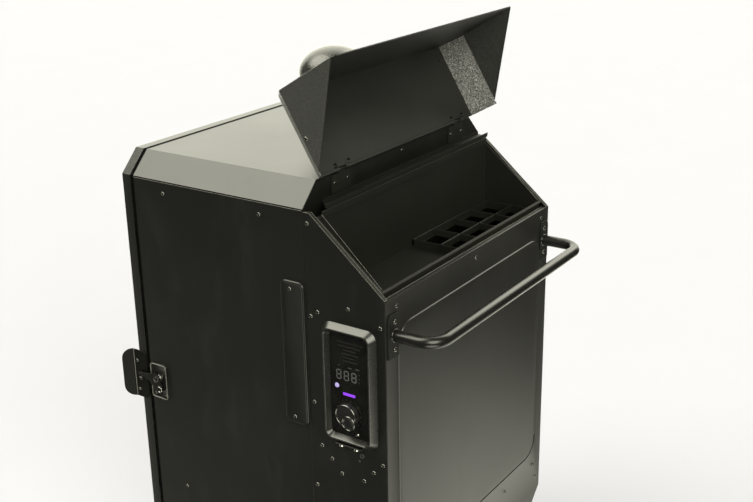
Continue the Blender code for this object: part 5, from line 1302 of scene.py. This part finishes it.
# ====================================================================== hopper fittings
# pellet guard: round bars welded in a light frame
HX0, HX1, HY0, HY1, DZ = -0.2885, -0.0040, 0.0330, 0.1420, zt(-0.200)
GX0, GX1, GY0, GY1 = HX0 - 0.0040, HX1 + 0.0040, HY0 - 0.0040, HY1 + 0.0040
gb = bmesh.new()


def strip(x0, x1, y0, y1, z0, z1):
    """A flat bar on edge with broken top corners."""
    if x1 - x0 < y1 - y0:
        c = (x0 + x1) / 2
        b_prism([[(x0, z0), (x1, z0), (x1, z1 - 0.0005), (c + 0.0005, z1), (c - 0.0005, z1), (x0, z1 - 0.0005)]], "Y", y0, y1,
                gb)
    else:
        c = (y0 + y1) / 2
        b_prism([[(y0, z0), (y1, z0), (y1, z1 - 0.0005), (c + 0.0005, z1), (c - 0.0005, z1), (y0, z1 - 0.0005)]], "X", x0, x1,
                gb)


for x in (GX0 + 0.001, -0.2194, -0.1528, -0.0760, GX1 - 0.001):
    strip(x - 0.001, x + 0.001, GY0, GY1, DZ + 0.0004, DZ + 0.0136)
for y in (GY0 + 0.001, 0.0915, GY1 - 0.001):
    strip(GX0, GX1, y - 0.001, y + 0.001, DZ + 0.0004, DZ + 0.0132)
put(to_obj("pellet_guard_bars", gb, "bin", 30), "cabinet", "hopper_grate")

# lighter beads along the top edge of each guard bar: painted highlight
ge = bmesh.new()
for x in (GX0 + 0.001, -0.2194, -0.1528, -0.0760, GX1 - 0.001):
    b_sweep([(x, GY0, DZ + 0.0138), (x, GY1, DZ + 0.0138)], 0.0009, 8, ge)
for y in (GY0 + 0.001, 0.0915, GY1 - 0.001):
    b_sweep([(GX0, y, DZ + 0.0136), (GX1, y, DZ + 0.0136)], 0.0009, 8, ge)
put(to_obj("pellet_guard_edge_highlights", ge, "line", 60), "cabinet")
# near-black walls and floor inside the chute opening: painted shade in the recess
chute = bmesh.new()
ca, cb_, cc, cd = HX0 + 0.0004, HX1 - 0.0004, HY0 + 0.0004, HY1 - 0.0004
for x0, x1, y0, y1 in ((ca, ca + 0.0008, cc, cd), (cb_ - 0.0008, cb_, cc, cd), (ca, cb_, cc, cc + 0.0008),
                       (ca, cb_, cd - 0.0008, cd)):
    b_prism([[(x0, y0), (x1, y0), (x1, y1), (x0, y1)]], "Z", DZ - 0.0400, DZ - 0.0014, chute)
b_prism([[(ca, cc), (cb_, cc), (cb_, cd), (ca, cd)]], "Z", DZ - 0.0410, DZ - 0.0400, chute)
put(to_obj("pellet_chute_shade_walls", chute, "void", 30), "cabinet")
apron = b_prism([[(0.0286, zt(-0.0600)), (0.0290, zt(-0.0600)), (0.0290, zt(-0.0475)), (0.0282, zt(-0.0466)),
                  (0.0279, zt(-0.0469)), (0.0286, zt(-0.0478))]], "X", -0.2915, 0.2915)
put(to_obj("bin_front_apron", apron, "bin", 40), "cabinet")

# ====================================================================== wire racks
def rack(k, lvl):
    z = zt(lvl) + 0.0008 + 0.0003
    x0, x1, y0, y1 = -0.2830, 0.2830, -0.3945, -0.0315
    bm = bmesh.new()
    rw = 0.0024
    zc = z + rw
    pts = []
    cn = [(x0 + rw, y0 + rw), (x1 - rw, y0 + rw), (x1 - rw, y1 - rw), (x0 + rw, y1 - rw)]
    for i in range(4):
        a, b, c = Vector(cn[i - 1]), Vector(cn[i]), Vector(cn[(i + 1) % 4])
        p, q = b + (a - b).normalized() * 0.016, b + (c - b).normalized() * 0.016
        for t in range(7):
            f = t / 6
            w = (p * (1 - f) + b * f) * (1 - f) + (b * (1 - f) + q * f) * f
            pts.append(Vector((w.x, w.y, zc)))
    m_ = len(pts)
    lps = []
    for i, p in enumerate(pts):
        t = (pts[(i + 1) % m_] - pts[i - 1]).normalized()
        s = t.cross(Vector((0, 0, 1))).normalized()
        lps.append([tuple(p + s * (rw * math.cos(a)) + Vector((0, 0, 1)) * (rw * math.sin(a)))
                    for a in [2 * math.pi * j / 10 for j in range(10)]])
    b_loft(lps, closed=True, bm=bm)
    nb = 34
    for i in range(nb):
        x = x0 + 0.018 + (x1 - x0 - 0.036) * i / (nb - 1)
        b_sweep([(x, y0 + rw, zc + 0.0008), (x, y1 - rw, zc + 0.0008)], 0.0014, 8, bm)
    for y in (y0 + 0.10, y0 + 0.185, y0 + 0.27):
        b_sweep([(x0 + rw, y, zc - 0.0012), (x1 - rw, y, zc - 0.0012)], 0.0012, 8, bm)
    o = to_obj("rack_%d_wires" % k, bm, "chrome", 60)
    put(o, "rack_%d" % k, "rack_%d" % k)


for k, lvl in enumerate((-0.185, -0.300, -0.415, -0.530)):
    rack(k + 1, lvl)

# ====================================================================== wheels
def road_wheel(tag, cx, cy=0.110, R=0.075):
    tyre = b_lathe([(0.0560, -0.0125), (0.0600, -0.0136), (0.0670, -0.0138), (0.0715, -0.0125), (0.0738, -0.0100),
                    (0.0746, -0.0080), (0.0748, -0.0068), (0.0735, -0.0062), (0.0735, -0.0050), (0.0750, -0.0044),
                    (0.0750, -0.0012), (0.0736, -0.0006), (0.0736, 0.0006), (0.0750, 0.0012), (0.0750, 0.0044),
                    (0.0735, 0.0050), (0.0735, 0.0062), (0.0748, 0.0068), (0.0746, 0.0080), (0.0738, 0.0100),
                    (0.0715, 0.0125), (0.0670, 0.0138), (0.0600, 0.0136), (0.0560, 0.0125)], "X", (cx, cy, R), 80,
                   ring=True)
    o = to_obj("wheel_%s_tyre" % tag, tyre, "rubber", 35)
    put(o, "wheel_%s" % tag, "wheel_%s" % tag)
    hub = bmesh.new()
    b_lathe([(0.0064, -0.0138), (0.0165, -0.0138), (0.0172, -0.0130), (0.0180, -0.0095), (0.0180, 0.0095), (0.0172, 0.0130),
             (0.0165, 0.0138), (0.0064, 0.0138)], "X", (cx, cy, R), 48, ring=True, bm=hub)
    b_lathe([(0.0500, -0.0080), (0.0510, -0.0100), (0.0545, -0.0116), (0.0575, -0.0120), (0.0575, 0.0120), (0.0545, 0.0116),
             (0.0510, 0.0100), (0.0500, 0.0080)], "X", (cx, cy, R), 64, ring=True, bm=hub)
    b_lathe([(0.0175, -0.0012), (0.0510, -0.0012), (0.0510, 0.0012), (0.0175, 0.0012)], "X", (cx, cy, R), 64, ring=True, bm=hub)
    for i in range(6):
        a = 2 * math.pi * i / 6
        ca, sa = math.cos(a), math.sin(a)
        q = []
        for rr, w in ((0.0165, 0.0062), (0.0515, 0.0036)):
            q.append((rr, w))
        lo_, hi_ = q
        pts = [(lo_[0], -lo_[1]), (hi_[0], -hi_[1]), (hi_[0], hi_[1]), (lo_[0], lo_[1])]
        pts = [(cy + u * ca - v * sa, R + u * sa + v * ca) for u, v in pts]
        b_prism([pts], "X", cx - 0.0072, cx + 0.0072, hub)
    o = to_obj("wheel_%s_hub" % tag, hub, "plastic", 35)
    put(o, "wheel_%s" % tag)


road_wheel("right", 0.2850)
road_wheel("left", -0.2850)
ws = bmesh.new()
for s in (1, -1):
    b_lathe([(0.0082, s * 0.0), (0.0120, 0.0), (0.0120, s * 0.0012), (0.0082, s * 0.0012)], "X", (s * 0.3005, 0.110, 0.075), 32,
            ring=True, bm=ws)
o = to_obj("axle_washers", ws, "zinc", 40)
put(o, "cabinet")


def caster(tag, cx, cy=-0.360, trail=0.018, R=0.0375):
    wy = cy - trail
    fkb = bmesh.new()
    b_lathe([(0, 0.0925), (0.0215, 0.0925), (0.0225, 0.0935), (0.0225, 0.0965), (0.0215, 0.0985), (0.0180, 0.0995),
             (0.0165, 0.1010), (0.0160, 0.1035), (0.0150, 0.1040), (0, 0.1040)], "Z", (cx, cy, 0), 48, bm=fkb)
    for q in (-1, 1):
        xa, xb = sorted((cx + q * 0.0126, cx + q * 0.0148))
        pts = [(cy + 0.016, 0.0938), (cy - 0.020, 0.0938), (wy - 0.0115, 0.0420)]
        for i in range(9):
            a = math.radians(180 + 180 * i / 8)
            pts.append((wy + 0.0095 * math.cos(a) - 0.001, R + 0.0095 * math.sin(a)))
        pts.append((wy + 0.0100, 0.0440))
        b_prism([pts], "X", xa, xb, fkb)
    b_prism([[(cy + 0.016, 0.0912), (cy + 0.016, 0.0938), (cy - 0.020, 0.0938), (cy - 0.020, 0.0912)]], "X",
            cx - 0.0148, cx + 0.0148, fkb)
    o = to_obj("caster_%s_fork" % tag, fkb, "zinc", 35)
    put(o, "caster_%s" % tag, "caster_fork_%s" % tag)
    ax = bmesh.new()
    b_lathe([(0, -0.0185), (0.0055, -0.0185), (0.0062, -0.0175), (0.0062, -0.0150), (0.0040, -0.0150), (0.0040, 0.0150),
             (0.0062, 0.0150), (0.0062, 0.0175), (0.0055, 0.0185), (0, 0.0185)], "X", (cx, wy, R), 24, bm=ax)
    put(to_obj("caster_%s_axle_bolt" % tag, ax, "dark_zinc", 35), "caster_%s" % tag)
    w = b_lathe([(0.0044, -0.0108), (0.0110, -0.0108), (0.0122, -0.0098), (0.0135, -0.0075), (0.0245, -0.0070), (0.0262, -0.0095),
                 (0.0290, -0.0108), (0.0340, -0.0108), (0.0362, -0.0094), (0.0372, -0.0070), (0.0375, -0.0040),
                 (0.0375, 0.0040), (0.0372, 0.0070), (0.0362, 0.0094), (0.0340, 0.0108), (0.0290, 0.0108), (0.0262, 0.0095),
                 (0.0245, 0.0070), (0.0135, 0.0075), (0.0122, 0.0098), (0.0110, 0.0108), (0.0044, 0.0108)], "X", (cx, wy, R),
                56, ring=True)
    put(to_obj("caster_%s_tyre" % tag, w, "rubber", 35), "caster_wheel_%s" % tag, "caster_wheel_%s" % tag)


caster("right", 0.250)
caster("left", -0.250)

# ====================================================================== stage, light, camera
def stage_mat():
    m, nt, b = new_mat("studio_floor")
    v = coords(nt)
    a = noise_tex(nt, v, 3, 4, 0.5)
    c = mix(nt, a.outputs["Fac"], (0.508, 0.510, 0.592), (0.524, 0.526, 0.610))
    nt.links.new(c, b.inputs["Base Color"])
    b.inputs["Roughness"].default_value = 0.85
    b.inputs["Specular IOR Level"].default_value = 0.2
    return m


bm = bmesh.new()
L = 60.0
vs = [bm.verts.new(p) for p in ((-L, -L, 0), (L, -L, 0), (L, L, 0), (-L, L, 0))]
bm.faces.new(vs)
floor = to_obj("studio_floor", bm, stage_mat(), None, recalc=False)
if floor.data.polygons[0].normal.z < 0:
    floor.data.flip_normals()
floor.visible_glossy = False

world = bpy.data.worlds.new("studio")
bpy.context.scene.world = world
world.use_nodes = True
nt = world.node_tree
for n in list(nt.nodes):
    nt.nodes.remove(n)
out = nt.nodes.new("ShaderNodeOutputWorld")
bg = nt.nodes.new("ShaderNodeBackground")
nt.links.new(bg.outputs[0], out.inputs["Surface"])
tc = nt.nodes.new("ShaderNodeTexCoord")
DIR = tc.outputs["Generated"]


def lobe(direction, cos_in, cos_out, value):
    """A soft round light card: full inside cos_in, gone outside cos_out."""
    d = Vector(direction).normalized()
    dot = N(nt, "ShaderNodeVectorMath", operation="DOT_PRODUCT")
    nt.links.new(DIR, dot.inputs[0])
    dot.inputs[1].default_value = d
    mr = N(nt, "ShaderNodeMapRange", interpolation_type="SMOOTHERSTEP")
    mr.inputs["From Min"].default_value = cos_out
    mr.inputs["From Max"].default_value = cos_in
    mr.inputs["To Min"].default_value = 0.0
    mr.inputs["To Max"].default_value = value
    nt.links.new(dot.outputs["Value"], mr.inputs["Value"])
    return mr.outputs["Result"]


parts = [
    lobe((-0.80, -0.56, 0.36), math.cos(math.radians(22)), math.cos(math.radians(60)), 2.3),   # bright wall behind
    lobe((0.30, -0.46, 0.82), math.cos(math.radians(12)), math.cos(math.radians(36)), 5.0),    # overhead box
    lobe((0.541, 0.684, 0.491), math.cos(math.radians(14)), math.cos(math.radians(28)), 5.6),  # box beside the camera
    lobe((-0.50, 0.32, -0.80), math.cos(math.radians(12)), math.cos(math.radians(33)), 1.55),  # lit floor behind the hopper
    lobe((-0.775, 0.08, 0.62), math.cos(math.radians(8)), math.cos(math.radians(24)), 2.5),    # high card on the left
    lobe((0.0, -0.75, -0.62), math.cos(math.radians(14)), math.cos(math.radians(42)), 0.5),    # lit floor before the door
    lobe((-0.78, -0.35, -0.52), math.cos(math.radians(9)), math.cos(math.radians(28)), 2.4),   # lit floor on the left
    lobe((0.50, 0.50, -0.70), math.cos(math.radians(10)), math.cos(math.radians(27)), 3.0),  # lit floor by the camera
]
acc = None
for p in parts:
    acc = p if acc is None else math_n(nt, "ADD", acc, p)
acc = math_n(nt, "ADD", acc, 0.042)
lp_ = N(nt, "ShaderNodeLightPath")
colr = mix(nt, lp_.outputs["Is Camera Ray"], (1.0, 0.986, 0.83), (1.0, 0.998, 0.975))
nt.links.new(colr, bg.inputs["Color"])
strength = N(nt, "ShaderNodeMix", data_type="FLOAT")
nt.links.new(lp_.outputs["Is Camera Ray"], strength.inputs[0])
nt.links.new(acc, strength.inputs[2])
strength.inputs[3].default_value = 1.0
nt.links.new(strength.outputs[0], bg.inputs["Strength"])

vs_ = bpy.context.scene.view_settings
vs_.view_transform = "Standard"
vs_.look = "None"

cam_d = bpy.data.cameras.new("camera")
cam = bpy.data.objects.new("camera", cam_d)
bpy.context.scene.collection.objects.link(cam)
az, el, roll = math.radians(124.35), math.radians(20.2), math.radians(-1.05)
d = Vector((-math.sin(az) * math.cos(el), math.cos(az) * math.cos(el), -math.sin(el)))
rt = d.cross(Vector((0, 0, 1))).normalized()
u = rt.cross(d)
right = math.cos(roll) * rt + math.sin(roll) * u
upv = -math.sin(roll) * rt + math.cos(roll) * u
C = Vector((1.7960 + SX, 1.1695 + SY, TOP + 0.5731))
cam.matrix_world = Matrix(((right.x, upv.x, -d.x, C.x), (right.y, upv.y, -d.y, C.y), (right.z, upv.z, -d.z, C.z),
                           (0, 0, 0, 1)))
cam_d.sensor_width = 36.0
cam_d.lens = 1151.03 / 753.0 * 36.0
cam_d.clip_start = 0.05
bpy.context.scene.camera = cam
